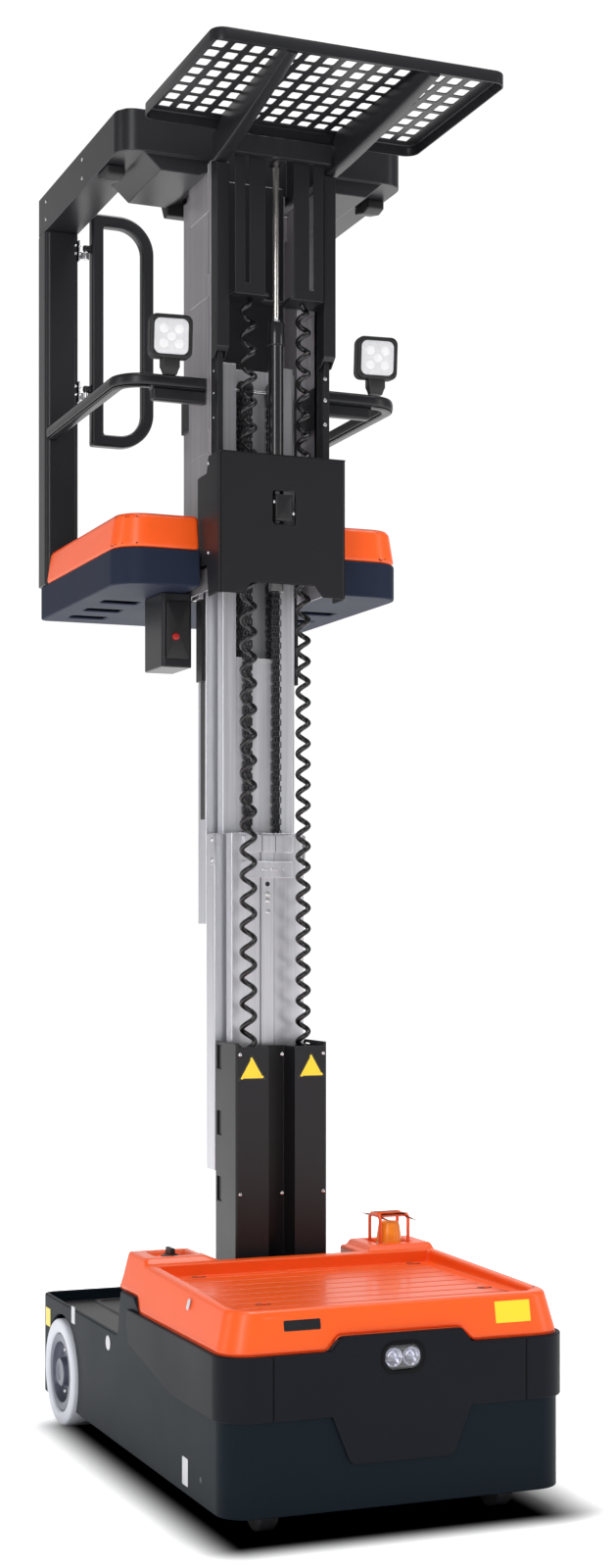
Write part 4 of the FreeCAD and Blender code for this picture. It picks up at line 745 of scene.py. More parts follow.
tyre_grey = coated("tyre_polyurethane", (0.66, 0.68, 0.75), (0.4, 0.4, 0.42), 0.42, grain=260, bump=0.15,
                   blotch=0.25)
hub_grey = coated("hub_casting", (0.10, 0.11, 0.15), (0.5, 0.5, 0.52), 0.35, grain=500, bump=0.35,
                  metal=0.35)
zinc = coated("zinc_steel", (0.60, 0.60, 0.62), (0.8, 0.8, 0.8), 0.26, grain=900, bump=0.10, blotch=0.3,
              metal=1.0)
nylon = coated("caster_nylon", (0.035, 0.036, 0.04), (0.1, 0.1, 0.1), 0.45, grain=600, bump=0.15)


def screw(facing, radius=0.0045, height=0.0025):
    """A dome head with a round socket: heights follow the dome's arc, then drop into the socket."""
    t = np.linspace(0, math.pi / 2.6, 4)
    dome = [(radius * math.cos(a), height * (0.25 + 0.75 * math.sin(a) / math.sin(math.pi / 2.6)))
            for a in t]
    socket = radius * 0.36
    profile = [(radius, 0.0), *dome, (socket, height), (socket * 0.9, height * 0.45)]
    return turned((0, 0, 0), facing, profile, 14)


def screws(name, places, facing, body, material, radius=0.0045, height=0.0025):
    """Like screws on one face, at places given as x, distance from the front and height."""
    spots = [(x, front_y + v, z) for x, v, z in places]
    return merged(name, [repeated(screw(facing, radius, height), spots)], material, body)


for label, side in (("left", -1), ("right", 1)):
    body = "drive_wheel_" + label
    ring = merged("tyre_" + label, [tyre(side)], tyre_grey, body)
    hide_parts("drive_tyre_" + label)
    casting = merged("hub_" + label, [hub(side)], hub_grey, body)
    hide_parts("drive_hub_" + label)
    turns = np.arange(wheel_bolts) * 2 * math.pi / wheel_bolts
    spots = [(side * (wheel_middle.x + dish_floor), wheel_middle.y - front_y + bolt_circle * math.cos(a),
              wheel_middle.z + bolt_circle * math.sin(a)) for a in turns]
    screws("hub_bolts_" + label, spots, (side, 0, 0), body, zinc, 0.0065, 0.0060)
    softened("caster_fork_" + label, "caster_frame_" + label, 0.0008, zinc)
    softened("caster_wheel_" + label, "caster_roller_" + label, 0.004, nylon, segments=3)

# Platform end of the base
# A moulded cover lies over the motors behind the mast, and the battery and pump block shows only from below.
# The drive units are cast and painted, and carry the wheels on their outer faces.
cover_black = (0.030, 0.028, 0.031)
cover_plastic = coated("cover_plastic", cover_black, (0.05, 0.05, 0.055), 0.5, grain=1200, bump=0.3)
softened("rear_cover", "motor_cover", 0.003, cover_plastic)

# Mast
# Two drawn aluminium sections run up inside each other in front of the fixed post.
# Drawing leaves fine streaks up and down them, and a strip between two grooves runs up the front; the grooves
# are a shallow dip in the material, darkened as painted shade.
aluminium_bright, aluminium_dark = (0.72, 0.72, 0.75), (0.50, 0.50, 0.54)
groove_x, groove_half = 0.0165, 0.0009
strip_bolt_z = (1.2570, 1.2425, 1.2175)
strip_face, bar_face, bar_z = 0.742, 0.733, 1.313
bar_bolt_x = (-0.016, -0.0075, 0.0077, 0.0187, 0.0373)
clamp_v, clamp_z, clamp_bolt_z = 0.8015, 1.3585, (1.382, 1.335)


def streak_group():
    """Streaks: noise stretched a hundred times along z gives colour, roughness and a shallow height."""
    group, gin, gout = new_group(
        "drawn_streaks",
        [("Bright", "NodeSocketColor", (0.7, 0.7, 0.7, 1)), ("Dark", "NodeSocketColor", (0.4, 0.4, 0.4, 1)),
         ("Groove X", "NodeSocketFloat", 0.0), ("Groove Half", "NodeSocketFloat", 0.0)],
        [("Color", "NodeSocketColor"), ("Roughness", "NodeSocketFloat"), ("Height", "NodeSocketFloat")],
    )
    coords = group.nodes.new("ShaderNodeTexCoord")
    stretch = group.nodes.new("ShaderNodeMapping")
    stretch.inputs["Scale"].default_value = (300.0, 300.0, 3.0)
    fine = group.nodes.new("ShaderNodeTexNoise")
    fine.inputs["Scale"].default_value = 1.0
    fine.inputs["Detail"].default_value = 4.0
    broad_stretch = group.nodes.new("ShaderNodeMapping")
    broad_stretch.inputs["Scale"].default_value = (40.0, 40.0, 0.8)
    broad = group.nodes.new("ShaderNodeTexNoise")
    broad.inputs["Scale"].default_value = 1.0
    group.links.new(coords.outputs["Object"], stretch.inputs["Vector"])
    group.links.new(coords.outputs["Object"], broad_stretch.inputs["Vector"])
    group.links.new(stretch.outputs["Vector"], fine.inputs["Vector"])
    group.links.new(broad_stretch.outputs["Vector"], broad.inputs["Vector"])
    streak = math_node(group, "ADD", fine.outputs["Fac"], broad.outputs["Fac"])
    streak = math_node(group, "SUBTRACT", streak, 0.5, clamp=True)
    split = group.nodes.new("ShaderNodeSeparateXYZ")
    group.links.new(coords.outputs["Object"], split.inputs[0])
    away = math_node(group, "ABSOLUTE", split.outputs["X"])
    away = math_node(group, "SUBTRACT", away, gin.outputs["Groove X"])
    away = math_node(group, "ABSOLUTE", away)
    groove = math_node(group, "LESS_THAN", away, gin.outputs["Groove Half"])
    mix = group.nodes.new("ShaderNodeMix")
    mix.data_type = "RGBA"
    group.links.new(streak, mix.inputs["Factor"])
    group.links.new(gin.outputs["Dark"], mix.inputs[6])
    group.links.new(gin.outputs["Bright"], mix.inputs[7])
    shade = group.nodes.new("ShaderNodeHueSaturation")
    # Painted shade: inside the groove the colour is darkened by four fifths, standing for the shade in it.
    dim = math_node(group, "MULTIPLY", groove, -0.8)
    dim = math_node(group, "ADD", dim, 1.0)
    group.links.new(dim, shade.inputs["Value"])
    group.links.new(mix.outputs[2], shade.inputs["Color"])
    group.links.new(shade.outputs["Color"], gout.inputs["Color"])
    rough = math_node(group, "MULTIPLY", streak, 0.18)
    rough = math_node(group, "ADD", rough, 0.26)
    group.links.new(rough, gout.inputs["Roughness"])
    height = math_node(group, "MULTIPLY", fine.outputs["Fac"], 0.15)
    height = math_node(group, "SUBTRACT", height, groove)
    group.links.new(height, gout.inputs["Height"])
    return group


drawn_streaks = streak_group()


def drawn(name, bright, dark, groove=0.0):
    """Drawn aluminium: the streak group on one Principled shader, with a groove of painted shade at plus and
    minus that x.
    """
    material, tree, shader = new_material(name)
    streaks = tree.nodes.new("ShaderNodeGroup")
    streaks.node_tree = drawn_streaks
    streaks.inputs["Bright"].default_value = (*bright, 1)
    streaks.inputs["Dark"].default_value = (*dark, 1)
    streaks.inputs["Groove X"].default_value = groove
    streaks.inputs["Groove Half"].default_value = groove_half if groove else -1.0
    relief = tree.nodes.new("ShaderNodeBump")
    relief.inputs["Strength"].default_value = 0.35
    relief.inputs["Distance"].default_value = 0.0005
    tree.links.new(streaks.outputs["Color"], shader.inputs["Base Color"])
    tree.links.new(streaks.outputs["Roughness"], shader.inputs["Roughness"])
    tree.links.new(streaks.outputs["Height"], relief.inputs["Height"])
    tree.links.new(relief.outputs["Normal"], shader.inputs["Normal"])
    shader.inputs["Metallic"].default_value = 0.75
    return material


mast_aluminium = drawn("mast_aluminium", aluminium_bright, aluminium_dark)
grooved_aluminium = drawn("grooved_aluminium", aluminium_bright, aluminium_dark, groove_x)


softened("stage_2", "mast_section_2", 0.0012, grooved_aluminium, most_sides=9)
softened("stage_3", "mast_section_3", 0.0012, mast_aluminium, most_sides=9)
screws("strip_bolts", [(0.0, strip_face, z) for z in strip_bolt_z], toward_front, "mast_stage_2", zinc,
       0.0064, 0.0032)
merged("stage_2_bar", [pad((0.0, front_y + bar_face, bar_z), toward_front, 0.060, 0.0185, 0.003,
                           [(0.0, -0.0125), (0.0, -0.0010), (0.0010, 0.0)])],
       mast_aluminium, "mast_stage_2")
screws("bar_bolts", [(x, bar_face, bar_z) for x in bar_bolt_x], toward_front, "mast_stage_2", zinc, 0.0032,
       0.0018)
# Painted shade: the hole in the strip is a thin dark disc whose colour stands for the shade inside it.
merged("strip_hole_shade", [turned((0, front_y + strip_face, 1.2800), toward_front,
                             [(0.0055, -0.001), (0.0055, 0.0002), (0.0045, 0.0003)], 20)], dark_plastic_and_recess_shade,
       "mast_stage_2")
merged("side_clamps", [pad((side * 0.1095, front_y + clamp_v, clamp_z), (side, 0, 0), 0.012, 0.035, 0.002,
                           [(0.0, -0.001), (0.0, 0.0020), (0.0008, 0.0028)]) for side in (-1, 1)],
       mast_aluminium, "mast_stage_2")
for label, side in (("left", -1), ("right", 1)):
    screws("clamp_bolts_" + label, [(side * 0.1120, clamp_v, z) for z in clamp_bolt_z], (side, 0, 0),
           "mast_stage_2", zinc, 0.0055, 0.003)
merged("section_3_plate", [pad((0, front_y + 0.8125, 1.50), toward_front, 0.0535, 0.300, 0.001,
                               [(0.0, -0.0015), (0.0, 0.0010), (0.0006, 0.0015)], steps=1)],
       mast_aluminium, "mast_stage_3")

# Lift chains
# Two leaf chains hang over flanged pulleys on one pin in the head of the upper section.
# Each link is a stack of oval steel plates, the next link's plates lying between them on a riveted pin.
chain_left, chain_right, chain_half = -0.0250, 0.0460, 0.0100
chain_pitch, plate_reach, plate_height = 0.0127, 0.0098, 0.0036
pulley_middle = Vector((0.0, front_y + 0.825, 2.414))
pulley_path, pulley_rim = 0.0188, 0.0205
chain_foot = 1.215
steel_oiled = (0.030, 0.030, 0.034)


def chain_path(s, length):
    """Place and direction after s metres: up the front, a half circle over the pulley, and down the back."""
    arc = math.pi * pulley_path
    turn = np.clip((s - length) / pulley_path, 0, math.pi)
    y = pulley_middle.y - pulley_path * np.cos(turn)
    z = pulley_middle.z + pulley_path * np.sin(turn)
    z = np.where(s < length, pulley_middle.z - length + s, z)
    z = np.where(s > length + arc, pulley_middle.z - (s - length - arc), z)
    return np.stack([y, z], -1), np.stack([np.sin(turn), np.cos(turn)], -1)


def leaf_chain(x):
    """Oval plates: local (along, across) turned to the path's direction at each link's middle."""
    length = pulley_middle.z - chain_foot
    total = 2 * length + math.pi * pulley_path
    middles, ways = chain_path(np.arange(chain_pitch / 2, total, chain_pitch), length)
    oval = rounded_ring(plate_reach, plate_height, plate_height, 2)
    offsets = np.linspace(-chain_half, chain_half, 7)
    thick = (offsets[1] - offsets[0]) * 0.42
    parts = []
    for k in range(2):
        spots, turns = middles[k::2], ways[k::2]
        across = np.stack([turns[:, 1], -turns[:, 0]], -1)
        flat = (oval[:, 0, None] * turns[:, None, :] + oval[:, 1, None] * across[:, None, :]
                + spots[:, None, :])
        rows = []
        for half in (None, -thick, thick, None):
            ring = flat if half is not None else np.repeat(spots[:, None, :], len(oval), 1)
            depth = half if half is not None else (-thick if not rows else thick)
            rows.append(np.concatenate([np.full((*ring.shape[:2], 1), depth), ring], -1))
        links = np.stack(rows, 1)
        count, size = 4, len(oval)
        i, j = np.meshgrid(np.arange(count - 1), np.arange(size), indexing="ij")
        following = (j + 1) % size
        quad = np.stack([i * size + j, (i + 1) * size + j,
                         (i + 1) * size + following, i * size + following], -1)
        faces = quad.reshape(-1, 4)[None] + (np.arange(len(spots)) * count * size)[:, None, None]
        one = (links.reshape(-1, 3), faces.reshape(-1, 4))
        parts.append(repeated(one, [(x + offset, 0, 0) for offset in offsets[k::2]]))
    return parts


def pulley(x):
    profile = [(0.006, -0.0145), (pulley_rim, -0.0145), (pulley_rim, -0.0125), (0.0150, -0.0122),
               (0.0150, 0.0122), (pulley_rim, 0.0125), (pulley_rim, 0.0145), (0.006, 0.0145)]
    return turned((x, pulley_middle.y, pulley_middle.z), (1, 0, 0), profile, 32)


chain_steel = coated("chain_steel", steel_oiled, (0.16, 0.16, 0.17), 0.34, grain=500, bump=0.15,
                     blotch=0.6, metal=0.5)
bush_grey = coated("bush_grey", (0.30, 0.30, 0.33), (0.5, 0.5, 0.5), 0.35)
chain = merged("leaf_chains", leaf_chain(chain_left) + leaf_chain(chain_right), chain_steel,
               "mast_stage_3", smooth=False)
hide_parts("lift_chains")
merged("chain_pulleys", [pulley(chain_left), pulley(chain_right)], dark_plastic_and_recess_shade, "mast_stage_3")
merged("pulley_pin", [turned((0, pulley_middle.y, pulley_middle.z), (1, 0, 0),
                             [(0.0048, -0.082), (0.0048, 0.082)], 20)],
       zinc, "mast_stage_3")
merged("pulley_bushes", [
    turned((side * 0.066, pulley_middle.y, pulley_middle.z), (1, 0, 0),
           [(0.011, -0.0115), (0.012, -0.0105), (0.012, 0.0105), (0.011, 0.0115)], 28) for side in (-1, 1)],
       bush_grey, "mast_stage_3")

# Mast shield
# A folded steel guard closes the front of the mast base, held by six dome screws.
# Two warning triangles with nothing printed inside them are stuck beside its slot.
shield_face = 0.652
triangle_spots = ((-0.0715, 0.874 - 0.012), (0.0708, 0.877 - 0.012))
triangle_half, triangle_corner, triangle_border = 0.037, 0.004, 0.0065


def triangle(x, z, half, low, high):
    """A rounded triangle, point up: corner centres plus the corner radius times (cos t, sin t)."""
    starts = np.array([-math.pi / 6, math.pi / 2, math.pi * 7 / 6])
    t = np.linspace(0, 2 * math.pi / 3, 6)[None, :] + starts[:, None]
    inner = half - triangle_corner * math.sqrt(3)
    cx = np.array((inner, 0.0, -inner))
    cz = np.array((-inner / math.sqrt(3), 2 * inner / math.sqrt(3), -inner / math.sqrt(3)))
    flat_x = (cx[:, None] + triangle_corner * np.cos(t)).ravel() + x
    flat_z = (cz[:, None] + triangle_corner * np.sin(t)).ravel() + z
    return capped([np.stack([flat_x, np.full_like(flat_x, front_y + shield_face - h), flat_z], -1)
                   for h in (low, high)])


softened("mast_shield", "shield", 0.002, steel_paint)
screws("shield_screws", [(x, shield_face, z) for z in (0.899, 0.589) for x in (-0.0995, 0.0, 0.0995)],
       toward_front, "chassis", zinc, 0.0042, 0.0022)
merged("triangle_borders", [triangle(x, z, triangle_half, -0.0005, 0.0003)
                            for x, z in triangle_spots], black_plate, "chassis")
merged("triangle_fields", [triangle(x, z, triangle_half - triangle_border, -0.0003, 0.0006)
                           for x, z in triangle_spots], yellow_plate, "chassis")

# Coiled cords
# Two curly cables carry power up to the platform, wound tight in black rubber and stretched straight.
# They leave the base inside the shield and end under the cover panels of the carriage.
cord_low, cord_high = 0.300, 2.590
cord_y = front_y + 0.690
wire_radius = 0.0060
coil_radius = {"left": 0.0146, "right": 0.0120}
coil_pitch = {"left": 0.0572, "right": 0.0464}
coil_steps = 18


def route_points(points, name):
    """Points read from the cord's own NURBS line."""
    curve = bpy.data.curves.new(name, "CURVE")
    curve.dimensions = "3D"
    spline = curve.splines.new("NURBS")
    spline.points.add(len(points) - 1)
    spline.points.foreach_set("co", np.array([(*p, 1) for p in points]).ravel())
    spline.order_u = 3
    spline.use_endpoint_u = True
    holder = bpy.data.objects.new(name, curve)
    line = bpy.data.meshes.new_from_object(holder)
    found = np.empty(len(line.vertices) * 3)
    line.vertices.foreach_get("co", found)
    bpy.data.objects.remove(holder)
    return found.reshape(-1, 3)


def helix(line, radius, pitch):
    """A helix round the line: line(s) + radius (cos t, sin t, 0), with t = 2 pi s / pitch."""
    along = np.concatenate([[0], np.cumsum(np.linalg.norm(np.diff(line, axis=0), axis=1))])
    s = np.linspace(0, along[-1], int(along[-1] / pitch * coil_steps))
    middle = np.stack([np.interp(s, along, line[:, k]) for k in range(3)], -1)
    t = 2 * math.pi * s / pitch
    draw_in = np.clip(np.minimum(s, along[-1] - s) / 0.03, 0.25, 1.0)
    return middle + (radius * draw_in)[:, None] * np.stack([np.cos(t), np.sin(t), np.zeros_like(t)], -1)


rubber = coated("cord_rubber", (0.006, 0.006, 0.007), (0.03, 0.03, 0.03), 0.26, grain=700, bump=0.10,
                blotch=0.3, shine=0.45)
for label, side in (("left", -1), ("right", 1)):
    x = side * 0.066
    line = route_points([(x, cord_y, cord_low), (x, cord_y, 1.445), (x, cord_y, cord_high)],
                        "cord_line_" + label)
    path = helix(line, coil_radius[label], coil_pitch[label])
    mesh = joined_mesh("coil_" + label, [carried(path, wire_radius, (0.0, 0.0, 1.0), 10)], rubber)
    mesh.shade_smooth()
    coil = bpy.data.objects.new("coil_" + label, mesh)
    bpy.context.scene.collection.objects.link(coil)
    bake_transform(coil)
    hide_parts("coil_cord_" + label)

# Carriage
# The platform hangs on a box column with a black guide rail up each side, on which the tray's slides run.
# A folded steel box with a small rounded cap in its front covers the foot of the tray's cylinder.
box_low, box_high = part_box("front_box")
window_x, window_z, cap_x, cap_z = -0.037, 2.134, 0.0015, 2.1165
cap_half, cap_height = 0.0205, 0.0300
face_y, box_back, face_widening = front_y + 0.642, front_y + 0.790, 1.14
plate_foot = 1.935
guard_v, guard_z, guard_half, guard_height = 0.8175, 2.42, 0.0665, 0.48
bar_v, bar_low, bar_high = 0.873, 1.747, 1.95
box_screw_v, box_screw_z = 0.715, (2.2170, 2.0180)
bracket_screw_z = (2.4283, 2.379, 2.324)
column_grey, column_dark = (0.60, 0.58, 0.61), (0.40, 0.385, 0.41)
paint_black = (0.0125, 0.0125, 0.0145)


def box_fitted(points):
    """The box as the photograph shows it.

    Window: scaled about its middle and moved to the cap. Box: z scaled about its middle, y of its sides
    and face scaled between new ends, y of its web max(y, face), the face's edges moved out.
    """
    moved = points.copy()
    in_face = points[:, 1] < box_low.y + 0.012
    in_window = (in_face & (np.abs(points[:, 0] - window_x) < 0.03)
                 & (np.abs(points[:, 2] - window_z) < 0.06))
    moved[in_window, 0] = cap_x + (points[in_window, 0] - window_x) * 1.08
    moved[in_window, 2] = cap_z + (points[in_window, 2] - window_z) * 0.88
    middle_z = (box_low.z + box_high.z) / 2
    moved[~in_window, 2] = middle_z + (points[~in_window, 2] - middle_z) * 0.972
    edge = in_face & (np.abs(points[:, 0]) > 0.10)
    moved[edge, 0] *= face_widening
    shell = in_face | (np.abs(points[:, 0]) > 0.10)
    scaled = face_y + (points[:, 1] - box_low.y) * (box_back - face_y) / (box_high.y - box_low.y)
    moved[:, 1] = np.where(shell, scaled, np.maximum(points[:, 1], face_y + 0.0025))
    return moved


def feet_raised(points):
    """The side plates end inside the box."""
    moved = points.copy()
    moved[:, 2] = np.maximum(points[:, 2], plate_foot)
    return moved


def is_side_plate(centres):
    return centres[:, 1] > front_y + 0.748


def is_column_front(centres):
    return (centres[:, 1] < front_y + 0.905) & (np.abs(centres[:, 0]) < 0.112)


satin_black = coated("satin_black", paint_black, (0.08, 0.08, 0.085), 0.32, grain=380, bump=0.12,
                     blotch=0.25, shine=0.35)
column_aluminium = drawn("column_aluminium", column_grey, column_dark)
# Faces on the column's front take the satin black, darker than its aluminium sides.
softened("carriage_column", "column", 0.002, column_aluminium, second=satin_black,
         is_second=is_column_front)
softened("carriage_rails", "guide_rails", 0.0012, satin_black, fitted=feet_raised, second=column_aluminium,
         is_second=is_side_plate)
softened("cover_panels", "slotted_covers", 0.0015, satin_black)
softened("front_box", "front_cover_box", 0.0025, steel_paint, fitted=box_fitted)
merged("column_guards", [
    pad((side * 0.1385, front_y + guard_v, guard_z), (side, 0, 0), guard_half, guard_height, 0.001,
        [(0.0, -0.0015), (0.0, 0.0010), (0.0005, 0.0015)], steps=1) for side in (-1, 1)],
       column_aluminium, "carriage")
merged("box_cap", [pad((cap_x, face_y, cap_z), toward_front, cap_half, cap_height, 0.006,
                       [(0.0, -0.012), (0.0, -0.0030), (0.0015, -0.0010), (0.004, 0.0)])], dark_plastic_and_recess_shade,
       "carriage")
screws("cap_screws", [(cap_x - 0.0232, face_y - front_y + 0.003, cap_z + 0.012),
                     (cap_x + 0.0232, face_y - front_y + 0.003, cap_z - 0.012)],
       toward_front, "carriage", zinc, 0.0036, 0.0028)
for name, side, x in (("box_side_screws", -1, box_low.x), ("box_side_screws_right", 1, box_high.x)):
    screws(name, [(x, box_screw_v, z) for z in box_screw_z], (side, 0, 0), "carriage", zinc)
for label, x, v, height in (("left", -0.1320, 0.7278, 0.0026), ("right", 0.1245, 0.7000, 0.0006)):
    screws("bracket_screws_" + label, [(x, v, z) for z in bracket_screw_z], toward_front, "carriage", zinc,
           0.0046, height)
merged("guide_bars", [pad((side * 0.1160, front_y + bar_v, (bar_low + bar_high) / 2), (side, 0, 0), 0.019,
                          (bar_high - bar_low) / 2, 0.001,
                          [(0.0, -0.0040), (0.0, 0.0030), (0.0006, 0.0036)],
                          steps=1) for side in (-1, 1)], satin_black, "carriage")
merged("section_3_strip", [pad((-0.1100, front_y + bar_v, 1.595), (-1, 0, 0), 0.012, 0.165, 0.001,
                               [(0.0, -0.0005), (0.0, 0.0010), (0.0005, 0.0016)], steps=1)], satin_black,
       "mast_stage_3")
column_screws = [(-0.1102, 0.925, z) for z in (2.84, 2.52, 2.47)]
screws("column_screws", column_screws, (-1, 0, 0), "carriage", zinc, 0.0040, 0.0022)

# Tray cylinder
# A black painted cylinder stands in the box, and its hard chromed rod pushes the tray up.
rod_low, rod_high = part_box("cylinder_rod")
cylinder_low, cylinder_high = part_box("tray_cylinder")
cylinder_axis = (0.0, (rod_low.y + rod_high.y) / 2, 0.0)
gland_z = cylinder_high.z
chrome_color = (0.80, 0.76, 0.74)
gloss_black = coated("gloss_black", (0.010, 0.010, 0.012), (0.05, 0.05, 0.05), 0.18, grain=200, bump=0.04,
                     coat=0.4)
chrome = coated("rod_chrome", chrome_color, (0.9, 0.9, 0.9), 0.26, grain=300, bump=0.0, blotch=0.5,
                metal=1.0)
cylinder = merged("cylinder_tube", [turned(cylinder_axis, (0, 0, 1), [
    (0.0165, cylinder_low.z), (0.0172, cylinder_low.z + 0.001), (0.0172, gland_z - 0.062),
    (0.0200, gland_z - 0.060), (0.0200, gland_z - 0.012), (0.0180, gland_z - 0.008),
    (0.0120, gland_z - 0.001), (0.0078, gland_z - 0.001)], 40)], gloss_black, "carriage")
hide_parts("tray_cylinder")
rod = merged("chrome_rod", [turned(cylinder_axis, (0, 0, 1), [
    (0.0066, rod_low.z), (0.0071, rod_low.z + 0.001), (0.0071, rod_high.z - 0.001),
    (0.0066, rod_high.z)], 32)], chrome, "load_tray")
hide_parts("cylinder_rod")
merged("rod_seal", [turned(cylinder_axis, (0, 0, 1), [
    (0.0078, gland_z - 0.003), (0.0104, gland_z - 0.002), (0.0100, gland_z), (0.0076, gland_z)], 32)],
       zinc, "carriage")

# Platform
# The floor is a welded steel pan with slots through its underside, topped by a soft edged orange moulding
# round a ribbed rubber mat. A small switch box with a red button hangs beside the column.
# Painted reflection: the pan's own near black is tinted blue, a painted reflection of blue light from below.
pan_dark_blue_reflection = (0.016, 0.021, 0.040)
control_low, control_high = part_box("control_box")
button_place = ((control_low.x + control_high.x) / 2 - 0.006, control_low.y, 1.846)


def ribbed_rubber():
    """Black rubber with ribs across: a wave over y gives the height, and noise the dust in between."""
    material, tree, shader = new_material("ribbed_rubber")
    coords = tree.nodes.new("ShaderNodeTexCoord")
    wave = tree.nodes.new("ShaderNodeTexWave")
    wave.bands_direction = "Y"
    wave.inputs["Scale"].default_value = 26.0
    dust = tree.nodes.new("ShaderNodeTexNoise")
    dust.inputs["Scale"].default_value = 18.0
    tint = tree.nodes.new("ShaderNodeValToRGB")
    tint.color_ramp.elements[0].color = (0.012, 0.012, 0.012, 1)
    tint.color_ramp.elements[1].color = (0.035, 0.034, 0.032, 1)
    relief = tree.nodes.new("ShaderNodeBump")
    relief.inputs["Strength"].default_value = 0.6
    relief.inputs["Distance"].default_value = 0.002
    tree.links.new(coords.outputs["Object"], wave.inputs["Vector"])
    tree.links.new(coords.outputs["Object"], dust.inputs["Vector"])
    tree.links.new(dust.outputs["Fac"], tint.inputs["Fac"])
    tree.links.new(tint.outputs["Color"], shader.inputs["Base Color"])
    tree.links.new(wave.outputs["Fac"], relief.inputs["Height"])
    tree.links.new(relief.outputs["Normal"], shader.inputs["Normal"])
    shader.inputs["Roughness"].default_value = 0.7
    return material


# The pan's coat: its own near black, with the blue tint of a painted reflection.
pan_coat_blue_reflection = coated("pan_coat_painted_blue_reflection", pan_dark_blue_reflection, (0.09, 0.1, 0.12), 0.52, grain=420, bump=0.25, blotch=0.3,
                   shine=0.07)
button_red = coated("button_red", (0.35, 0.012, 0.010), (0.5, 0.1, 0.1), 0.3)
softened("platform_pan", "pan", 0.0045, pan_coat_blue_reflection, segments=3)
softened("platform_rim", "platform_moulding", 0.010, orange_plastic, segments=4)
dress(ribbed_rubber(), "platform_mat")
softened("control_box", "switch_box", 0.003, satin_black)
merged("switch_panel", [pad(((control_low.x + control_high.x) / 2, control_low.y, 1.862), toward_front,
                            0.027, 0.066, 0.004, [(0.0, -0.001), (0.0, 0.0012), (0.0012, 0.0018)])],
       dark_plastic_and_recess_shade, "carriage")
merged("red_button", [turned(button_place, toward_front,
                             [(0.0085, 0.0015), (0.0085, 0.0060), (0.0072, 0.0080),
                                                          (0.0040, 0.0088)], 24)], button_red, "carriage")

# Posts, handrails and gates
# Square steel posts stand at the rear corners and carry a tube gate each on two zinc plated hinges.
# Rectangular tubes with rounded corners run forward from them as handrails, screwed to the guide rails.
hinge_heights, hinge_face, switch_v = (2.517, 2.868), 1.3705, 1.366
limit_green, limit_yellow = (0.05, 0.28, 0.10), (0.65, 0.50, 0.05)
softened("rear_posts", "corner_posts", 0.004, satin_black, segments=3)
softened("handrails", "handrail_tubes", 0.0055, satin_black, segments=3)
for label in ("left", "right"):
    softened("gate_" + label, "gate_tube_" + label, 0.0055, satin_black, segments=3)
softened("gate_hinges", "hinge_plates", 0.0008, zinc)
hinge_screws = [(side * (0.2590 + across), hinge_face, z + up) for side in (-1, 1) for z in hinge_heights
                for across in (0.0, 0.0115) for up in (-0.010, 0.010)]
screws("hinge_screws", hinge_screws, toward_front, "carriage", zinc, 0.0030, 0.0016)
switch_body = pad((-0.2680, front_y + switch_v, 2.454), toward_front, 0.0075, 0.012, 0.002,
                  [(0.0, -0.014), (0.0, -0.001), (0.001, 0.0)])
switch_head = pad((-0.2610, front_y + switch_v, 2.462), toward_front, 0.003, 0.005, 0.001,
                  [(0.0, -0.010), (0.0, 0.0), (0.0008, 0.0008)])
merged("limit_switch", [switch_body], coated("switch_green", limit_green, (0.2, 0.4, 0.2), 0.4), "carriage")
merged("limit_switch_head", [switch_head], coated("switch_yellow", limit_yellow, (0.7, 0.6, 0.2), 0.4),
       "carriage")

# Roof console
# A folded steel hood joins the posts to the column over the operator's head and holds the control panel.
# Two corner lamps hang under its front, and screws fix its sides to flat bars.
console_side = abs(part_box("console")[1].x)
softened("console", "roof_hood", 0.0025, satin_black, most_sides=9)
softened("control_panel", "panel_body", 0.003, dark_plastic_and_recess_shade)
softened("corner_lamps", "corner_lamp_bodies", 0.003, dark_plastic_and_recess_shade)
for label, side in (("left", -1), ("right", 1)):
    spots = [(side * console_side, v, z) for v in (1.05, 1.37) for z in (2.978, 2.934)]
    screws("hood_screws_" + label, spots, (side, 0, 0), "carriage", zinc, 0.0042, 0.0022)

# Work lamps
# Two square floodlights stand on the handrails, each a ribbed black casting round a frosted lens.
# Five light emitting diodes shine as soft spots through the lens.
lamp_half_size, lamp_corner, lens_half, lens_corner = 0.048, 0.016, 0.0375, 0.014
lamp_facing = np.array((-0.12, -0.98, -0.10))
lamp_centres = ((-0.2450, 0.704, 2.4870), (0.2520, 0.704, 2.4870))
spot_ring = ((-0.017, -0.016), (0.017, -0.016), (-0.017, 0.016), (0.017, 0.016), (0.0, 0.0))


def frosted(name, base, glow):
    """Frosted lens: the glowing plastic with clouds a fifth darker than its base."""
    return glowing(name, 0.8 * np.array(base), base, 120.0, glow, 0.28)


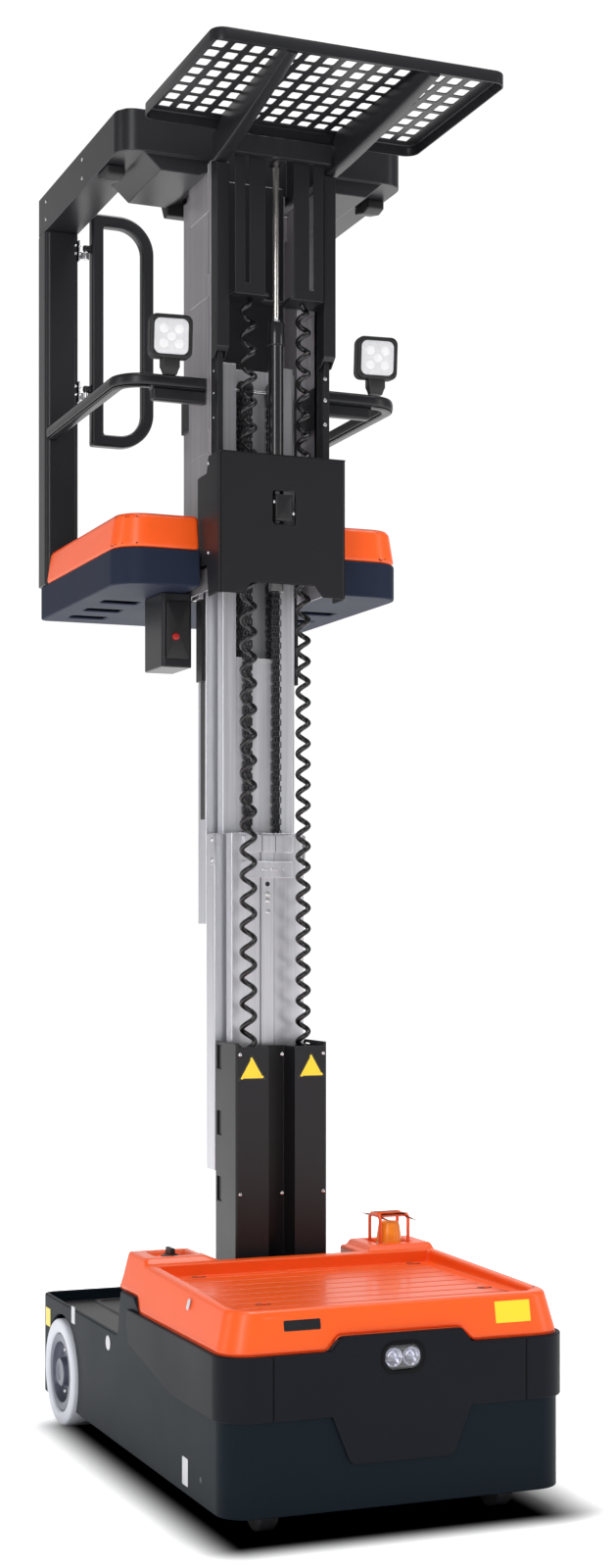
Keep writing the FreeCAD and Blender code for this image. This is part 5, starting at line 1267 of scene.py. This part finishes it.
lens_frost = frosted("lamp_frost", (0.62, 0.62, 0.64), 0.12)
lens_spots = frosted("lamp_spots", (0.72, 0.72, 0.73), 0.16)
side_axis, up_axis, face_axis = axes_of(lamp_facing)
bodies, lenses, spots, stems = [], [], [], []
for centre in lamp_centres:
    place = np.array((centre[0], front_y + centre[1], centre[2]))
    fins = [(0.0, -0.004), (0.004, -0.005), (0.004, -0.008), (0.0, -0.009), (0.0, -0.012), (0.004, -0.013),
            (0.004, -0.016), (0.001, -0.017), (0.001, -0.020), (0.006, -0.022), (0.012, -0.024)]
    front = [(0.0, 0.012), (0.0015, 0.0155), (0.004, 0.0165), (0.0075, 0.0165), (0.0098, 0.0135)]
    bodies.append(pad(place, lamp_facing, lamp_half_size, lamp_half_size, lamp_corner, fins[::-1] + front,
                      steps=6))
    lenses.append(pad(place, lamp_facing, lens_half + 0.001, lens_half + 0.001, lens_corner,
                      [(0.0, 0.0125), (0.0, 0.0140), (0.004, 0.0150), (0.02, 0.0153)], steps=6))
    for a, b in spot_ring:
        spots.append(turned(place + a * side_axis + b * up_axis + 0.0150 * face_axis, lamp_facing,
                            [(0.0115, -0.0004), (0.0100, 0.0003), (0.006, 0.0008)], 20))
    foot_z = place[2] - lamp_half_size
    stems.append(pad((place[0], place[1] + 0.004, foot_z - 0.012), (0, 0, 1), 0.021, 0.012, 0.004,
                     [(0.006, -0.022), (0.003, -0.012), (0.0, -0.006), (0.0, 0.016)]))
lamp_bodies = merged("work_lamp_bodies", bodies, dark_plastic_and_recess_shade, "carriage")
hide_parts("work_lamps")
merged("work_lamp_lenses", lenses, lens_frost, "carriage")
merged("work_lamp_spots", spots, lens_spots, "carriage")
merged("work_lamp_stems", stems, dark_plastic_and_recess_shade, "carriage")

# Load tray
# A punched steel sheet with a folded skirt, welded on two pressed arms that run out from the slides.
# The round cornered holes are punched right across it in even rows.
tray_low, tray_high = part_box("tray_grid")
tray_half = (tray_high.x - tray_low.x) / 2
tray_front, tray_rear = front_y + 0.186, tray_high.y
tray_corner, sheet_thick, skirt_height = 0.030, 0.0025, 0.027
hole_columns, hole_rows = 15, 9
hole_half_x, hole_half_y, hole_corner = 0.0130, 0.0192, 0.005
sheet_border = 0.022
arm_front_x, arm_rear_x = 0.158, 0.134


def punched_sheet(cell_x, cell_y, centres, high):
    """Cells side by side: each hole's ring joined to its cell's edge, above, below and through it."""
    t = np.linspace(0, math.pi / 2, 5)[None, :] + np.arange(4)[:, None] * math.pi / 2
    inner = rounded_ring(hole_half_x, hole_half_y, hole_corner, 4)
    stretch = 1 / np.maximum(np.abs(np.cos(t)), np.abs(np.sin(t)))
    sign_a = np.array([1, -1, -1, 1])[:, None]
    sign_b = np.array([1, 1, -1, -1])[:, None]
    flat_x, flat_y = hole_half_x - hole_corner, hole_half_y - hole_corner
    outer = np.stack([(sign_a * flat_x + (cell_x - flat_x) * np.cos(t) * stretch).ravel(),
                      (sign_b * flat_y + (cell_y - flat_y) * np.sin(t) * stretch).ravel()], -1)
    rings = [(outer, high), (inner, high), (inner, high - sheet_thick), (outer, high - sheet_thick)]
    cell = lofted([np.column_stack([flat, np.full(len(flat), z)]) for flat, z in rings])
    return repeated(cell, centres)


def skirt():
    """The folded edge: rounded rectangles from the sheet's top round the outside and back up inside."""
    middle = np.array((0.0, (tray_front + tray_rear) / 2))
    half_y = (tray_rear - tray_front) / 2
    low = tray_high.z - skirt_height
    profile = [(sheet_border + 0.001, tray_high.z - 0.0028), (sheet_border + 0.001, tray_high.z - 0.0001),
               (0.003, tray_high.z - 0.0001), (0.001, tray_high.z - 0.001), (0.0, tray_high.z - 0.003),
               (0.0, low), (0.0025, low), (0.0025, tray_high.z - 0.0045), (0.0045, tray_high.z - 0.0028)]
    rings = []
    for inset, z in profile:
        flat = rounded_ring(tray_half - inset, half_y - inset, max(tray_corner - inset, 0.003), 8) + middle
        rings.append(np.column_stack([flat, np.full(len(flat), z)]))
    return lofted([*rings, rings[0]])


def arm(side):
    """A pressed arm: square sections from the slide's head out under the sheet, thinner towards the front."""
    along = np.linspace(0, 1, 8)
    y = (tray_rear + 0.034) + along * (tray_front - 0.030 - tray_rear)
    x = side * (arm_rear_x + (arm_front_x - arm_rear_x) * along)
    top = np.full_like(along, tray_high.z - sheet_thick - 0.0005)
    top[0] = tray_low.z + 0.004
    bottom = 2.885 + 0.052 * along ** 1.3
    half = 0.0165 - 0.004 * along
    rings = []
    for k in range(len(along)):
        flat = rounded_ring(half[k], (top[k] - bottom[k]) / 2, 0.004, 2)
        rings.append(np.column_stack([x[k] + flat[:, 0], np.full(len(flat), y[k]),
                                      (top[k] + bottom[k]) / 2 + flat[:, 1]]))
    return capped(rings)


cell_x = (tray_half - sheet_border) / hole_columns
cell_y = ((tray_rear - tray_front) / 2 - sheet_border / 2) / hole_rows
column_x = (np.arange(hole_columns) - (hole_columns - 1) / 2) * 2 * cell_x
row_y = (tray_front + tray_rear) / 2 + (np.arange(hole_rows) - (hole_rows - 1) / 2) * 2 * cell_y
cells = np.stack([*[grid.ravel() for grid in np.meshgrid(column_x, row_y)],
                  np.zeros(hole_columns * hole_rows)], -1)
tray = merged("tray_sheet", [punched_sheet(cell_x, cell_y, cells, tray_high.z - 0.0002), skirt()],
              satin_black, "load_tray")
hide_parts("tray_grid")
arms = merged("tray_arm_pressings", [arm(-1), arm(1)], satin_black, "load_tray")
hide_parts("tray_arms")
merged("tray_cross_plate", [pad((0, front_y + 0.650, 2.9165), toward_front, 0.117, 0.0215, 0.001,
                                [(0.0, -0.006), (0.0, 0.008), (0.0008, 0.009)], steps=1)], satin_black,
       "load_tray")
merged("rod_lug", [pad((0, front_y + 0.678, 2.899), (0, 0, 1), 0.012, 0.024, 0.003,
                       [(0.0, -0.007), (0.0, 0.006)])],
       satin_black, "load_tray")
softened("tray_slides", "slide_channels", 0.0012, satin_black)
